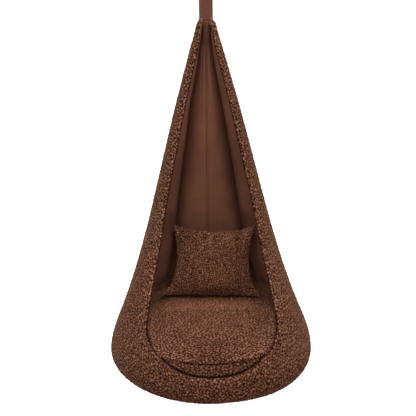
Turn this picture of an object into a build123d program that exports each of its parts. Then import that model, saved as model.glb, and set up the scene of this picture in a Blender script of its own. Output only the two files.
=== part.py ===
from build123d import *
import math
import os

os.makedirs("parts", exist_ok=True)

# ---------------------------------------------------------------- dimensions, mm
drop = 1887.0  # ceiling face to the underside of the pod, measured down the strap
bar_h = 1470.0  # apex bar above the underside of the pod
hang_tilt = 1.45  # degrees the empty pod leans back on its strap

plate_r, plate_t = 60.0, 6.0  # ceiling plate
bolt_r, bolt_pcd = 4.2, 90.0  # clearance for four M8 screws
pin_r, pin_z = 5.0, -28.0  # clevis pin
ear_in, ear_t, ear_r = 13.6, 6.0, 17.0
running = 0.05  # radial clearance of a turning fit
shank_r = 6.0  # swivel shank
eye_z, eye_ring_r, eye_rod_r = -140.0, 20.0, 5.5
hook_rod_r, hook_bow_r = 5.0, 20.0  # carabiner rod and bow
hook_top_z, hook_low_z = -169.0, -214.0  # nose end, and centre of the lower bow
hook_seat_y, hook_seat_z, hook_shoulder_r = 4.0, -149.0, 16.0  # straight seat that hangs in the eye
gate_pin_z, gate_rod_r = -211.0, 4.4
ring_rod_r, ring_top_z, ring_bar_z = 4.5, -224.0, -282.0

web_w, web_t = 44.0, 2.4  # webbing inside the strap
sleeve_w, sleeve_t = 53.0, 9.0  # fabric sleeve over it

cover_d = 3.0  # thickness of the outer fabric
strap_d0, strap_d1, strap_w = 3.4, 4.8, 34.0  # load strap depth in the wall, width
pad_d0, pad_d1 = 5.1, 15.4  # wadding depth in the wall
lining_d0, lining_t = 15.7, 2.0
bind_w = 12.0  # width of the rolled edge round the opening
seam_h = 262.0  # side covers start here, base cover ends here
bottom_r = 300.0  # edge of the flat bottom cover
gap = 0.3

hoop_r, hoop_tube_r, hoop_bore_r, hoop_h = 352.0, 12.5, 11.0, 32.0
deck_r, deck_t, deck_h = 385.0, 12.0, 46.8
saddle_n, saddle_w, saddle_t = 6, 16.0, 1.6
screw_off = 21.0  # saddle screws each side of the tube

# outside of the pod: radius and height, from the underside up the wall
base_round_r, base_round_a, base_round_b = 290.0, 160.0, 62.0
side = [
    (449.9, 62), (447.0, 90), (441.5, 115), (434.0, 140), (425.2, 165), (415.5, 190),
    (403.3, 220), (386.3, 262), (368.0, 310), (350.0, 360), (329.6, 420), (304.0, 500),
    (274.3, 600), (241.5, 720), (207.5, 850), (168.6, 1000), (128.8, 1150), (91.9, 1280),
    (66.2, 1370), (47.9, 1430), (36.0, 1471), (30.6, 1480), (25.6, 1487),
]
rounding = [
    (
        base_round_r + base_round_a * math.cos(math.radians(a)),
        base_round_b + base_round_b * math.sin(math.radians(a)),
    )
    for a in (-86.0, -75.0, -60.0, -45.0, -30.0, -15.0)
]
outside = rounding + side

# right half of the opening's edge, seen square from the front: half width and height
edge = [
    (0.0, 137), (55.0, 138), (106.5, 144), (152.0, 156), (193.0, 174), (226.5, 195),
    (254.5, 226), (268.0, 266), (265.5, 312), (246.0, 430), (214.0, 590), (175.5, 792),
    (131.0, 993), (88.0, 1186), (64.0, 1281), (40.0, 1374), (18.0, 1466), (13.0, 1478),
]


def inset(points, depth):
    """A profile moved in from its outside by depth, square to itself."""
    moved = []
    for i, (r, z) in enumerate(points):
        r0, z0 = points[max(i - 1, 0)]
        r1, z1 = points[min(i + 1, len(points) - 1)]
        long = math.hypot(r1 - r0, z1 - z0)
        moved.append((r - depth * (z1 - z0) / long, z + depth * (r1 - r0) / long))
    return moved


def between(points, low, high):
    """The points of a profile from one height to another."""
    return [p for p in points if low <= p[1] <= high]


def both_halves(half):
    """The whole edge, from the left top round the bottom to the right top."""
    return [(-x, z) for x, z in reversed(half[1:])] + half


edge_line = both_halves(edge)
wide = inset(edge_line, -(bind_w + gap))
wide = [(x, z) for x, z in wide if z < 1470]
top_left, top_right = (-24.0, 1484.0), (24.0, 1484.0)
wide_line = [top_left] + wide + [top_right]
bind = inset(edge_line, -bind_w)
bind = [(x, z) for x, z in bind if z < 1470]
bind_line = [(-23.6, 1483.7)] + bind + [(23.6, 1483.7)]

lining_outer = [
    (389.3, 60), (389.5, 100), (390.5, 135), (391.5, 160), (391.0, 185), (386.6, 214),
] + inset(between(outside, 190, 1430), lining_d0)[2:]
lining_inner = inset(lining_outer, lining_t)
lining_back = lining_outer[:-1] + inset(between(outside, 1360, 1490), lining_d0)[1:]  # on to the top of the pod
lining_face = inset(lining_back, lining_t)

# ---------------------------------------------------------------- planes of the pod
lean = math.radians(hang_tilt)
pod_up = Vector(0, math.sin(lean), math.cos(lean))
pod_back = Vector(0, math.cos(lean), -math.sin(lean))
apex = Vector(0, 0, bar_h - drop)
pod_foot = apex - pod_up * bar_h
plan = Plane(origin=pod_foot, x_dir=(1, 0, 0), z_dir=pod_up)
front = Plane(origin=pod_foot, x_dir=(1, 0, 0), z_dir=pod_back * -1)
axis = Axis(pod_foot, pod_up)


# ================================================================ ceiling fixing
with BuildPart() as ceiling_plate:
    with BuildSketch(Plane.XY.offset(-plate_t)):
        Circle(plate_r)
        with PolarLocations(bolt_pcd / 2, 4, start_angle=45):
            Circle(bolt_r, mode=Mode.SUBTRACT)
    extrude(amount=plate_t)
    for x0 in (-ear_in - ear_t, ear_in):
        with BuildSketch(Plane.YZ.offset(x0)):
            with Locations((0, (pin_z - plate_t) / 2)):
                Rectangle(2 * ear_r, -plate_t - pin_z)
            with Locations((0, pin_z)):
                Circle(ear_r)
                Circle(pin_r + 0.03, mode=Mode.SUBTRACT)
        extrude(amount=ear_t)
    fillet(ceiling_plate.edges().filter_by(GeomType.CIRCLE).filter_by(
        lambda e: abs(e.radius - plate_r) < 0.1 and e.center().Z < -1), 2)
ceiling_plate.part.label = "ceiling_plate"
export_step(ceiling_plate.part, "parts/ceiling_plate.step")

with BuildPart() as clevis_pin:
    with BuildSketch(Plane.XZ):
        with BuildLine():
            Polyline(
                (-23.2, pin_z), (-23.2, pin_z + 7.5), (-19.9, pin_z + 7.5), (-19.9, pin_z + pin_r),
                (20.2, pin_z + pin_r), (20.2, pin_z + 4), (21.4, pin_z + 4), (21.4, pin_z + pin_r),
                (24.2, pin_z + pin_r), (25.0, pin_z + 4.2), (25.0, pin_z), (-23.2, pin_z),
            )
        make_face()
    revolve(axis=Axis((0, 0, pin_z), (1, 0, 0)))
clevis_pin.part.label = "clevis_pin"
export_step(clevis_pin.part, "parts/clevis_pin.step")

with BuildPart() as pin_clip:
    with BuildSketch(Plane.YZ.offset(20.3)):
        with Locations((0, pin_z)):
            Circle(7.6)
            Circle(4.1, mode=Mode.SUBTRACT)
        with Locations((0, pin_z - 6)):
            Rectangle(5.6, 8, mode=Mode.SUBTRACT)
    extrude(amount=1.0)
pin_clip.part.label = "pin_clip"
export_step(pin_clip.part, "parts/pin_clip.step")

# ================================================================ hanger
with BuildPart() as hanger_link:
    with BuildSketch(Plane.YZ.offset(-13)):
        with Locations((0, pin_z)):
            Circle(14)
        with Locations((0, -41)):
            Rectangle(18, 26)
    extrude(amount=26)
    with BuildSketch(Plane.XZ.offset(-15)):
        with Locations((0, -81)):
            RectangleRounded(60, 54, 8)
            with Locations((0, 1)):
                RectangleRounded(44, 32, 5, mode=Mode.SUBTRACT)
    extrude(amount=30)
    with BuildSketch(Plane.YZ.offset(-13)):
        with Locations((0, pin_z)):
            Circle(8.02)
    extrude(amount=26, mode=Mode.SUBTRACT)
    with BuildSketch(Plane.XY.offset(-110)):
        Circle(shank_r + running)
    extrude(amount=16, mode=Mode.SUBTRACT)
hanger_link.part.label = "hanger_link"
export_step(hanger_link.part, "parts/hanger_link.step")

with BuildPart() as link_bush:
    with BuildSketch(Plane.YZ.offset(-13)):
        with Locations((0, pin_z)):
            Circle(8.0)
            Circle(pin_r + running, mode=Mode.SUBTRACT)
    extrude(amount=26)
link_bush.part.label = "link_bush"
export_step(link_bush.part, "parts/link_bush.step")

race_z = -95.9
with BuildPart() as bearing_lower_race:
    with BuildSketch(Plane.XY.offset(race_z)):
        Circle(13)
        Circle(6.4, mode=Mode.SUBTRACT)
    extrude(amount=3)
bearing_lower_race.part.label = "bearing_lower_race"
export_step(bearing_lower_race.part, "parts/bearing_lower_race.step")

with BuildPart() as bearing_balls:
    with PolarLocations(9.7, 10):
        with Locations((0, 0, race_z + 3.1 + 2.4)):
            Sphere(2.4)
bearing_balls.part.label = "bearing_balls"
export_step(bearing_balls.part, "parts/bearing_balls.step")

# ================================================================ swivel
upper_z = race_z + 3.1 + 4.8 + 0.1
with BuildPart() as bearing_upper_race:
    with BuildSketch(Plane.XY.offset(upper_z)):
        Circle(13)
        Circle(shank_r + 0.02, mode=Mode.SUBTRACT)
    extrude(amount=3)
bearing_upper_race.part.label = "bearing_upper_race"
export_step(bearing_upper_race.part, "parts/bearing_upper_race.step")

with BuildPart() as swivel_nut:
    with BuildSketch(Plane.XY.offset(upper_z + 3.05)):
        RegularPolygon(9.5, 6, major_radius=False)
        Circle(shank_r + 0.02, mode=Mode.SUBTRACT)
    extrude(amount=11)
swivel_nut.part.label = "swivel_nut"
export_step(swivel_nut.part, "parts/swivel_nut.step")

with BuildPart() as swivel_eye:
    with BuildSketch(Plane.XY.offset(-121)):
        Circle(9)
    extrude(amount=12.6)
    with BuildSketch(Plane.XY.offset(-109)):
        Circle(shank_r)
    extrude(amount=39)
    with BuildSketch(Plane.XY.offset(eye_z)):
        with Locations((eye_ring_r, 0)):
            Circle(eye_rod_r)
    revolve(axis=Axis((0, 0, eye_z), (0, 1, 0)))
swivel_eye.part.label = "swivel_eye"
export_step(swivel_eye.part, "parts/swivel_eye.step")

# ================================================================ hook and ring
with BuildPart() as carabiner_body:
    with BuildLine(Plane.YZ) as hook_path:
        Line((-hook_bow_r, -204), (-hook_bow_r, hook_low_z))
        ThreePointArc(
            (-hook_bow_r, hook_low_z), (0, hook_low_z - hook_bow_r), (hook_bow_r, hook_low_z)
        )
        Line((hook_bow_r, hook_low_z), (hook_bow_r, hook_seat_z - hook_shoulder_r))
        RadiusArc(
            (hook_bow_r, hook_seat_z - hook_shoulder_r), (hook_seat_y, hook_seat_z), -hook_shoulder_r
        )
        Line((hook_seat_y, hook_seat_z), (-hook_seat_y, hook_seat_z))
        RadiusArc(
            (-hook_seat_y, hook_seat_z), (-hook_bow_r, hook_seat_z - hook_shoulder_r), -hook_shoulder_r
        )
        Line((-hook_bow_r, hook_seat_z - hook_shoulder_r), (-hook_bow_r, hook_top_z))
    with BuildSketch(Plane.XY.offset(-204)):
        with Locations((0, -hook_bow_r)):
            Circle(hook_rod_r)
    sweep(path=hook_path.wires()[0])
    with BuildSketch(Plane.XZ.offset(hook_bow_r - 8)):
        with Locations((0, -211)):
            Rectangle(5.0, 18)
    extrude(amount=16, mode=Mode.SUBTRACT)
    with BuildSketch(Plane.YZ.offset(-8)):
        with Locations((-hook_bow_r, gate_pin_z)):
            Circle(1.58)
    extrude(amount=16, mode=Mode.SUBTRACT)
carabiner_body.part.label = "carabiner_body"
export_step(carabiner_body.part, "parts/carabiner_body.step")

with BuildPart() as carabiner_gate:
    with BuildSketch(Plane.XY.offset(-199)):
        with Locations((0, -hook_bow_r)):
            Circle(gate_rod_r)
    extrude(amount=29)
    with BuildSketch(Plane.YZ.offset(-2.2)):
        with Locations((-hook_bow_r, gate_pin_z)):
            Circle(3.5)
        with Locations((-hook_bow_r, (gate_pin_z - 198) / 2)):
            Rectangle(7, -198 - gate_pin_z)
    extrude(amount=4.4)
    with BuildSketch(Plane.YZ.offset(-6)):
        with Locations((-hook_bow_r, gate_pin_z)):
            Circle(1.6)
    extrude(amount=12, mode=Mode.SUBTRACT)
carabiner_gate.part.label = "carabiner_gate"
export_step(carabiner_gate.part, "parts/carabiner_gate.step")

with BuildPart() as gate_pin:
    with BuildSketch(Plane.YZ.offset(-4.6)):
        with Locations((-hook_bow_r, gate_pin_z)):
            Circle(1.55)
    extrude(amount=9.2)
gate_pin.part.label = "gate_pin"
export_step(gate_pin.part, "parts/gate_pin.step")

with BuildPart() as triangle_ring:
    with BuildLine(Plane.XZ) as ring_path:
        FilletPolyline(
            (-39, ring_bar_z), (39, ring_bar_z), (8, ring_top_z), (-8, ring_top_z),
            radius=7.5, close=True,
        )
    with BuildSketch(Plane(origin=ring_path.wires()[0] @ 0, z_dir=ring_path.wires()[0] % 0)):
        Circle(ring_rod_r)
    sweep(path=ring_path.wires()[0])
triangle_ring.part.label = "triangle_ring"
export_step(triangle_ring.part, "parts/triangle_ring.step")

# ================================================================ strap
with BuildPart() as hanging_strap:
    with BuildSketch(Plane.YZ.offset(-web_w / 2)):
        with Locations((0, ring_bar_z)):
            Circle(ring_rod_r + 0.3 + web_t)
        with Locations((0, apex.Z)):
            Circle(4.3 + web_t)
        with BuildLine():
            Polyline(
                (-7.1, ring_bar_z), (-2.6, ring_bar_z - 30), (-2.6, apex.Z + 18), (-6.6, apex.Z),
                (6.6, apex.Z), (2.6, apex.Z + 18), (2.6, ring_bar_z - 30), (7.1, ring_bar_z),
                (-7.1, ring_bar_z),
            )
        make_face()
        with Locations((0, ring_bar_z)):
            Circle(ring_rod_r + 0.3, mode=Mode.SUBTRACT)
        with Locations((0, apex.Z)):
            Circle(4.3, mode=Mode.SUBTRACT)
        with BuildLine():
            Polyline(
                (-4.5, ring_bar_z - 1.6), (0, ring_bar_z - 26), (4.5, ring_bar_z - 1.6),
                (-4.5, ring_bar_z - 1.6),
            )
        make_face(mode=Mode.SUBTRACT)
        with BuildLine():
            Polyline(
                (-4.0, apex.Z + 1.5), (0, apex.Z + 15), (4.0, apex.Z + 1.5), (-4.0, apex.Z + 1.5)
            )
        make_face(mode=Mode.SUBTRACT)
    extrude(amount=web_w)
hanging_strap.part.label = "hanging_strap"
export_step(hanging_strap.part, "parts/hanging_strap.step")

with BuildPart() as strap_sleeve:
    with BuildSketch(Plane.XY.offset(1490.0 - drop)):
        RectangleRounded(sleeve_w, sleeve_t, 3.5)
        Rectangle(web_w + 1.0, 6.4, mode=Mode.SUBTRACT)
    extrude(amount=84)
strap_sleeve.part.label = "strap_sleeve"
export_step(strap_sleeve.part, "parts/strap_sleeve.step")

# ================================================================ top of the pod
with BuildPart() as apex_cup:
    with BuildSketch(front):
        with BuildLine():
            Spline(*inset(outside, 5.1))
            Line(inset(outside, 5.1)[-1], inset(outside, 7.6)[-1])
            Spline(*reversed(inset(outside, 7.6)))
            Line(inset(outside, 7.6)[0], inset(outside, 5.1)[0])
        make_face()
    revolve(axis=axis)
    split(bisect_by=plan.offset(1477), keep=Keep.BOTTOM)
    split(bisect_by=plan.offset(1450), keep=Keep.TOP)
    with BuildSketch(front):
        with BuildLine():
            Spline(*wide_line)
            Line(wide_line[-1], wide_line[0])
        make_face()
    extrude(amount=600, mode=Mode.SUBTRACT)
    with BuildSketch(Plane.YZ.offset(-60)):
        with Locations((0, apex.Z)):
            Circle(4.03)
    extrude(amount=120, mode=Mode.SUBTRACT)
apex_cup.part.label = "apex_cup"
export_step(apex_cup.part, "parts/apex_cup.step")

with BuildPart() as apex_bar:
    with BuildSketch(Plane.YZ.offset(-29.5)):
        with Locations((0, apex.Z)):
            Circle(4.0)
    extrude(amount=59)
apex_bar.part.label = "apex_bar"
export_step(apex_bar.part, "parts/apex_bar.step")

# four webbings that carry the hoop, looped round its tube
strap_out = [(352.0, 17.7), (375.0, 19.8), (402.0, 25.5), (424.0, 36.5), (438.0, 52.0)]
strap_in = [(352.0, 19.2), (374.8, 21.3), (401.5, 27.0), (423.0, 37.8), (436.5, 53.0)]
strap_out += inset(outside, strap_d0)[7:]
strap_in += inset(outside, strap_d1)[7:]
with BuildPart() as load_straps:
    with BuildSketch(front):
        with BuildLine():
            Spline(*strap_out)
            Line(strap_out[-1], strap_in[-1])
            Spline(*reversed(strap_in))
            Line(strap_in[0], strap_out[0])
        make_face()
        with Locations((hoop_r, hoop_h)):
            Circle(14.3)
            Circle(12.8, mode=Mode.SUBTRACT)
    revolve(axis=axis)
    with BuildSketch(plan):
        for turn in (8, 172, 60, 120):
            a = math.radians(turn)
            with Locations(Location((245 * math.cos(a), 245 * math.sin(a), 0), (0, 0, turn))):
                Rectangle(470, strap_w)
    extrude(amount=1458, mode=Mode.INTERSECT)
load_straps.part.label = "load_straps"
export_step(load_straps.part, "parts/load_straps.step")

# ================================================================ outside of the pod
with BuildPart() as left_cover:
    with BuildSketch(front):
        with BuildLine():
            Spline(*outside)
            Line(outside[-1], inset(outside, cover_d)[-1])
            Spline(*reversed(inset(outside, cover_d)))
            Line(inset(outside, cover_d)[0], outside[0])
        make_face()
    revolve(axis=axis)
    split(bisect_by=plan.offset(seam_h + gap / 2), keep=Keep.TOP)
    split(bisect_by=Plane.YZ.offset(-gap / 2), keep=Keep.BOTTOM)
    with BuildSketch(front):
        with BuildLine():
            Spline(*wide_line)
            Line(wide_line[-1], wide_line[0])
        make_face()
    extrude(amount=600, mode=Mode.SUBTRACT)
left_cover.part.label = "left_cover"
export_step(left_cover.part, "parts/left_cover.step")

with BuildPart() as right_cover:
    with BuildSketch(front):
        with BuildLine():
            Spline(*outside)
            Line(outside[-1], inset(outside, cover_d)[-1])
            Spline(*reversed(inset(outside, cover_d)))
            Line(inset(outside, cover_d)[0], outside[0])
        make_face()
    revolve(axis=axis)
    split(bisect_by=plan.offset(seam_h + gap / 2), keep=Keep.TOP)
    split(bisect_by=Plane.YZ.offset(gap / 2), keep=Keep.TOP)
    with BuildSketch(front):
        with BuildLine():
            Spline(*wide_line)
            Line(wide_line[-1], wide_line[0])
        make_face()
    extrude(amount=600, mode=Mode.SUBTRACT)
right_cover.part.label = "right_cover"
export_step(right_cover.part, "parts/right_cover.step")

with BuildPart() as base_cover:
    with BuildSketch(front):
        with BuildLine():
            Spline(*outside)
            Line(outside[-1], inset(outside, cover_d)[-1])
            Spline(*reversed(inset(outside, cover_d)))
            Line(inset(outside, cover_d)[0], outside[0])
        make_face()
    revolve(axis=axis)
    split(bisect_by=plan.offset(seam_h - gap / 2), keep=Keep.BOTTOM)
    with BuildSketch(front):
        with BuildLine():
            Spline(*wide_line)
            Line(wide_line[-1], wide_line[0])
        make_face()
    extrude(amount=600, mode=Mode.SUBTRACT)
base_cover.part.label = "base_cover"
export_step(base_cover.part, "parts/base_cover.step")

with BuildPart() as bottom_cover:
    with BuildSketch(plan):
        Circle(bottom_r)
    extrude(amount=cover_d)
bottom_cover.part.label = "bottom_cover"
export_step(bottom_cover.part, "parts/bottom_cover.step")

thick_in = lining_inner + inset(outside, 4.9)[-3:-1]
thick_out = between(outside, 60, 1480)
with BuildPart() as opening_binding:
    with BuildSketch(front):
        with BuildLine():
            Spline(*thick_out)
            Line(thick_out[-1], thick_in[-1])
            Spline(*reversed(thick_in))
            Line(thick_in[0], thick_out[0])
        make_face()
    revolve(axis=axis)
    with BuildSketch(front):
        with BuildLine():
            Spline(*bind_line)
            Line(bind_line[-1], bind_line[0])
        make_face()
        with BuildLine():
            Spline(*edge_line)
            Line(edge_line[-1], edge_line[0])
        make_face(mode=Mode.SUBTRACT)
    extrude(amount=600, mode=Mode.INTERSECT)
opening_binding.part.label = "opening_binding"
export_step(opening_binding.part, "parts/opening_binding.step")

# ================================================================ filling of the wall
pad_out = inset(outside, pad_d0)[9:]
pad_in = inset(outside, pad_d1)[9:]
with BuildPart() as left_padding:
    with BuildSketch(front):
        with BuildLine():
            Spline(*pad_out)
            Line(pad_out[-1], pad_in[-1])
            Spline(*reversed(pad_in))
            Line(pad_in[0], pad_out[0])
        make_face()
    revolve(axis=axis)
    split(bisect_by=plan.offset(182), keep=Keep.TOP)
    split(bisect_by=plan.offset(1424), keep=Keep.BOTTOM)
    split(bisect_by=Plane.YZ.offset(-gap / 2), keep=Keep.BOTTOM)
    with BuildSketch(front):
        with BuildLine():
            Spline(*wide_line)
            Line(wide_line[-1], wide_line[0])
        make_face()
    extrude(amount=600, mode=Mode.SUBTRACT)
left_padding.part.label = "left_padding"
export_step(left_padding.part, "parts/left_padding.step")

with BuildPart() as right_padding:
    with BuildSketch(front):
        with BuildLine():
            Spline(*pad_out)
            Line(pad_out[-1], pad_in[-1])
            Spline(*reversed(pad_in))
            Line(pad_in[0], pad_out[0])
        make_face()
    revolve(axis=axis)
    split(bisect_by=plan.offset(182), keep=Keep.TOP)
    split(bisect_by=plan.offset(1424), keep=Keep.BOTTOM)
    split(bisect_by=Plane.YZ.offset(gap / 2), keep=Keep.TOP)
    with BuildSketch(front):
        with BuildLine():
            Spline(*wide_line)
            Line(wide_line[-1], wide_line[0])
        make_face()
    extrude(amount=600, mode=Mode.SUBTRACT)
right_padding.part.label = "right_padding"
export_step(right_padding.part, "parts/right_padding.step")

roll_out = [(431.0, 50.0)] + between(inset(outside, pad_d0), 58, 200)
roll_in = inset(lining_outer, -0.4)[:5]
with BuildPart() as rim_bolster:
    with BuildSketch(front):
        with BuildLine():
            Line((391.0, 36.0), roll_out[0])
            Spline(*roll_out)
            Line(roll_out[-1], roll_in[-1])
            Spline(*reversed(roll_in))
            Line(roll_in[0], (391.0, 36.0))
        make_face()
    revolve(axis=axis)
    split(bisect_by=plan.offset(181), keep=Keep.BOTTOM)
    with BuildSketch(front):
        with BuildLine():
            Spline(*wide_line)
            Line(wide_line[-1], wide_line[0])
        make_face()
    extrude(amount=600, mode=Mode.SUBTRACT)
rim_bolster.part.label = "rim_bolster"
export_step(rim_bolster.part, "parts/rim_bolster.step")

# ================================================================ inside
with BuildPart() as lining:
    with BuildSketch(front):
        with BuildLine():
            Spline(*lining_back)
            Line(lining_back[-1], lining_face[-1])
            Spline(*reversed(lining_face))
            Line(lining_face[0], lining_back[0])
        make_face()
    revolve(axis=axis)
    split(bisect_by=plan.offset(1424), keep=Keep.BOTTOM)
    with BuildSketch(front):
        with BuildLine():
            Spline(*wide_line)
            Line(wide_line[-1], wide_line[0])
        make_face()
    extrude(amount=600, mode=Mode.SUBTRACT)
lining.part.label = "lining"
export_step(lining.part, "parts/lining.step")

# ================================================================ base frame
with BuildPart() as base_hoop:
    with BuildSketch(front):
        with Locations((hoop_r, hoop_h)):
            Circle(hoop_tube_r)
            Circle(hoop_bore_r, mode=Mode.SUBTRACT)
    revolve(axis=axis)
    with BuildSketch(plan):
        with Locations((0, -hoop_r)):
            Circle(2.0)
    extrude(amount=hoop_h, mode=Mode.SUBTRACT)
base_hoop.part.label = "base_hoop"
export_step(base_hoop.part, "parts/base_hoop.step")

screw_places = []
for k in range(saddle_n):
    a = math.radians(30 + 360 * k / saddle_n)
    for r in (hoop_r - screw_off, hoop_r + screw_off):
        screw_places.append((r * math.cos(a), r * math.sin(a)))

with BuildPart() as base_deck:
    with BuildSketch(plan.offset(deck_h)):
        Circle(deck_r)
    extrude(amount=deck_t)
    fillet(base_deck.edges().filter_by(GeomType.CIRCLE), 2)
    with BuildSketch(plan.offset(deck_h)):
        with Locations(*screw_places):
            Circle(2.05)
    extrude(amount=10, mode=Mode.SUBTRACT)
base_deck.part.label = "base_deck"
export_step(base_deck.part, "parts/base_deck.step")

flange_z = deck_h - 0.1
with BuildPart() as hoop_saddles:
    for k in range(saddle_n):
        a = math.radians(30 + 360 * k / saddle_n)
        out = plan.x_dir * math.cos(a) + plan.y_dir * math.sin(a)
        across = plan.y_dir * math.cos(a) - plan.x_dir * math.sin(a)
        spot = Plane(origin=pod_foot + out * hoop_r, x_dir=out, z_dir=across * -1)
        with BuildSketch(spot):
            with Locations((0, hoop_h)):
                Circle(14.5)
            with Locations((0, (hoop_h + flange_z) / 2)):
                Rectangle(29, flange_z - hoop_h)
            with Locations((0, flange_z - saddle_t / 2)):
                Rectangle(56, saddle_t)
            with Locations((0, hoop_h)):
                Circle(12.9, mode=Mode.SUBTRACT)
            with Locations((0, hoop_h + 10)):
                Rectangle(25.8, 20, mode=Mode.SUBTRACT)
        extrude(amount=saddle_w / 2, both=True)
    with BuildSketch(plan.offset(deck_h - 6)):
        with Locations(*screw_places):
            Circle(2.3)
    extrude(amount=8, mode=Mode.SUBTRACT)
hoop_saddles.part.label = "hoop_saddles"
export_step(hoop_saddles.part, "parts/hoop_saddles.step")

with BuildPart() as saddle_screws:
    with BuildSketch(plan.offset(flange_z - saddle_t - 0.1 - 2.4)):
        with Locations(*screw_places):
            Circle(4.0)
    extrude(amount=2.4)
    with BuildSketch(plan.offset(flange_z - saddle_t - 0.2)):
        with Locations(*screw_places):
            Circle(2.0)
    extrude(amount=11.2)
saddle_screws.part.label = "saddle_screws"
export_step(saddle_screws.part, "parts/saddle_screws.step")

# ================================================================ seat cushion
seat = [
    (340.0, 60.4), (356.0, 61.6), (368.0, 68.0), (374.0, 80.0), (376.5, 100.0), (377.0, 130.0),
    (374.0, 162.0), (366.0, 176.0), (345.0, 183.0), (250.0, 192.0), (120.0, 197.0), (0.0, 198.0),
]
seat_low, seat_crown, seat_flat = 60.4, 198.0, 340.0
with BuildPart() as seat_cushion_cover:
    with BuildSketch(front):
        with BuildLine():
            Line((0, seat_low), seat[0])
            Spline(*seat)
            Line(seat[-1], (0, seat_low))
        make_face()
        with BuildLine():
            Line((0, seat_low + 2), (seat_flat, seat_low + 2))
            Spline((seat_flat, seat_low + 2), *inset(seat, 2.0)[1:-1], (0, seat_crown - 2))
            Line((0, seat_crown - 2), (0, seat_low + 2))
        make_face(mode=Mode.SUBTRACT)
    revolve(axis=axis)
seat_cushion_cover.part.label = "seat_cushion_cover"
export_step(seat_cushion_cover.part, "parts/seat_cushion_cover.step")

with BuildPart() as seat_cushion_foam:
    with BuildSketch(front):
        with BuildLine():
            Line((0, seat_low + 2.6), (seat_flat, seat_low + 2.6))
            Spline((seat_flat, seat_low + 2.6), *inset(seat, 2.6)[1:-1], (0, seat_crown - 2.6))
            Line((0, seat_crown - 2.6), (0, seat_low + 2.6))
        make_face()
    revolve(axis=axis)
seat_cushion_foam.part.label = "seat_cushion_foam"
export_step(seat_cushion_foam.part, "parts/seat_cushion_foam.step")

# ================================================================ scatter pillow
pillow_front, pillow_back = 105.0, 215.0  # behind the middle of the pod
pillow_low, pillow_high = 199.0, 548.0
pillow_low_w, pillow_high_w = 200.0, 184.0  # half widths
pillow_corner, pillow_edge = 46.0, 44.0
face_to_back = Plane(origin=pod_foot, x_dir=(1, 0, 0), z_dir=pod_back)

with BuildPart() as pillow_fill:
    d = 2.4
    with BuildSketch(front.offset(-pillow_back + d)):
        with BuildLine():
            Polyline(
                (-pillow_low_w + d, pillow_low + d), (pillow_low_w - d, pillow_low + d),
                (pillow_high_w - d, pillow_high - d), (-pillow_high_w + d, pillow_high - d),
                (-pillow_low_w + d, pillow_low + d),
            )
        make_face()
        fillet(vertices(), pillow_corner - d)
    extrude(amount=pillow_back - pillow_front - 2 * d)
    fillet(pillow_fill.faces().filter_by(face_to_back).edges(), pillow_edge - d)
pillow_fill.part.label = "pillow_fill"
export_step(pillow_fill.part, "parts/pillow_fill.step")

with BuildPart() as pillow_hollow:
    d = 2.0
    with BuildSketch(front.offset(-pillow_back + d)):
        with BuildLine():
            Polyline(
                (-pillow_low_w + d, pillow_low + d), (pillow_low_w - d, pillow_low + d),
                (pillow_high_w - d, pillow_high - d), (-pillow_high_w + d, pillow_high - d),
                (-pillow_low_w + d, pillow_low + d),
            )
        make_face()
        fillet(vertices(), pillow_corner - d)
    extrude(amount=pillow_back - pillow_front - 2 * d)
    fillet(pillow_hollow.faces().filter_by(face_to_back).edges(), pillow_edge - d)

with BuildPart() as pillow_cover:
    with BuildSketch(front.offset(-pillow_back)):
        with BuildLine():
            Polyline(
                (-pillow_low_w, pillow_low), (pillow_low_w, pillow_low),
                (pillow_high_w, pillow_high), (-pillow_high_w, pillow_high),
                (-pillow_low_w, pillow_low),
            )
        make_face()
        fillet(vertices(), pillow_corner)
    extrude(amount=pillow_back - pillow_front)
    fillet(pillow_cover.faces().filter_by(face_to_back).edges(), pillow_edge)
    add(pillow_hollow.part, mode=Mode.SUBTRACT)
pillow_cover.part.label = "pillow_cover"
export_step(pillow_cover.part, "parts/pillow_cover.step")
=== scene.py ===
import math

import bmesh
import bpy
import numpy as np
from mathutils import Matrix, Vector
from mathutils.kdtree import KDTree


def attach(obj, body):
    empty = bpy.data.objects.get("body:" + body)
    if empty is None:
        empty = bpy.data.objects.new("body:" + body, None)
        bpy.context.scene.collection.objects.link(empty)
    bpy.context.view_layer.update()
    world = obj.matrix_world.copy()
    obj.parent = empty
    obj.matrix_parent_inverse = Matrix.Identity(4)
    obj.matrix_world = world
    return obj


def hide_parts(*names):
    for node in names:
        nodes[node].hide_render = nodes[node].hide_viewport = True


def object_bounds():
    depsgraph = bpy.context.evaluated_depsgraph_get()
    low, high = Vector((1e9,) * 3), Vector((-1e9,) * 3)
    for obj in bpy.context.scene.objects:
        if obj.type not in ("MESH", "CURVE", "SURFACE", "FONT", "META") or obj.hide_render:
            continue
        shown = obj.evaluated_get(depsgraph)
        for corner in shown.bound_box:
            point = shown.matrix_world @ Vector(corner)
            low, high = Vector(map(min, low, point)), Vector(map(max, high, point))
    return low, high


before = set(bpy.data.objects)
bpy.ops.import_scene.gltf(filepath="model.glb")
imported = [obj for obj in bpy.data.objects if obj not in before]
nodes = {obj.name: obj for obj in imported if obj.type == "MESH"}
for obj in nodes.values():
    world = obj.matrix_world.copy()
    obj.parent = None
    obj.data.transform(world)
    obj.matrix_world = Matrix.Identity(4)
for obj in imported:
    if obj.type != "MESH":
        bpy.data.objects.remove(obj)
cad_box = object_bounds()

# ------------------------------------------------------------------ the pod's own frame
# x to the right, y to the back, z up from the underside, metres
DROP, BAR_H, TILT = 1.887, 1.470, math.radians(1.45)
SIDE = np.array([1.0, 0.0, 0.0])
UP = np.array([0.0, math.sin(TILT), math.cos(TILT)])
BACK = np.array([0.0, math.cos(TILT), -math.sin(TILT)])
POD = np.stack([SIDE, BACK, UP])
FOOT = np.array([0.0, 0.0, BAR_H - DROP]) - UP * BAR_H

STEP = 0.0026  # distance between neighbouring points of the curled fabric


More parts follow.
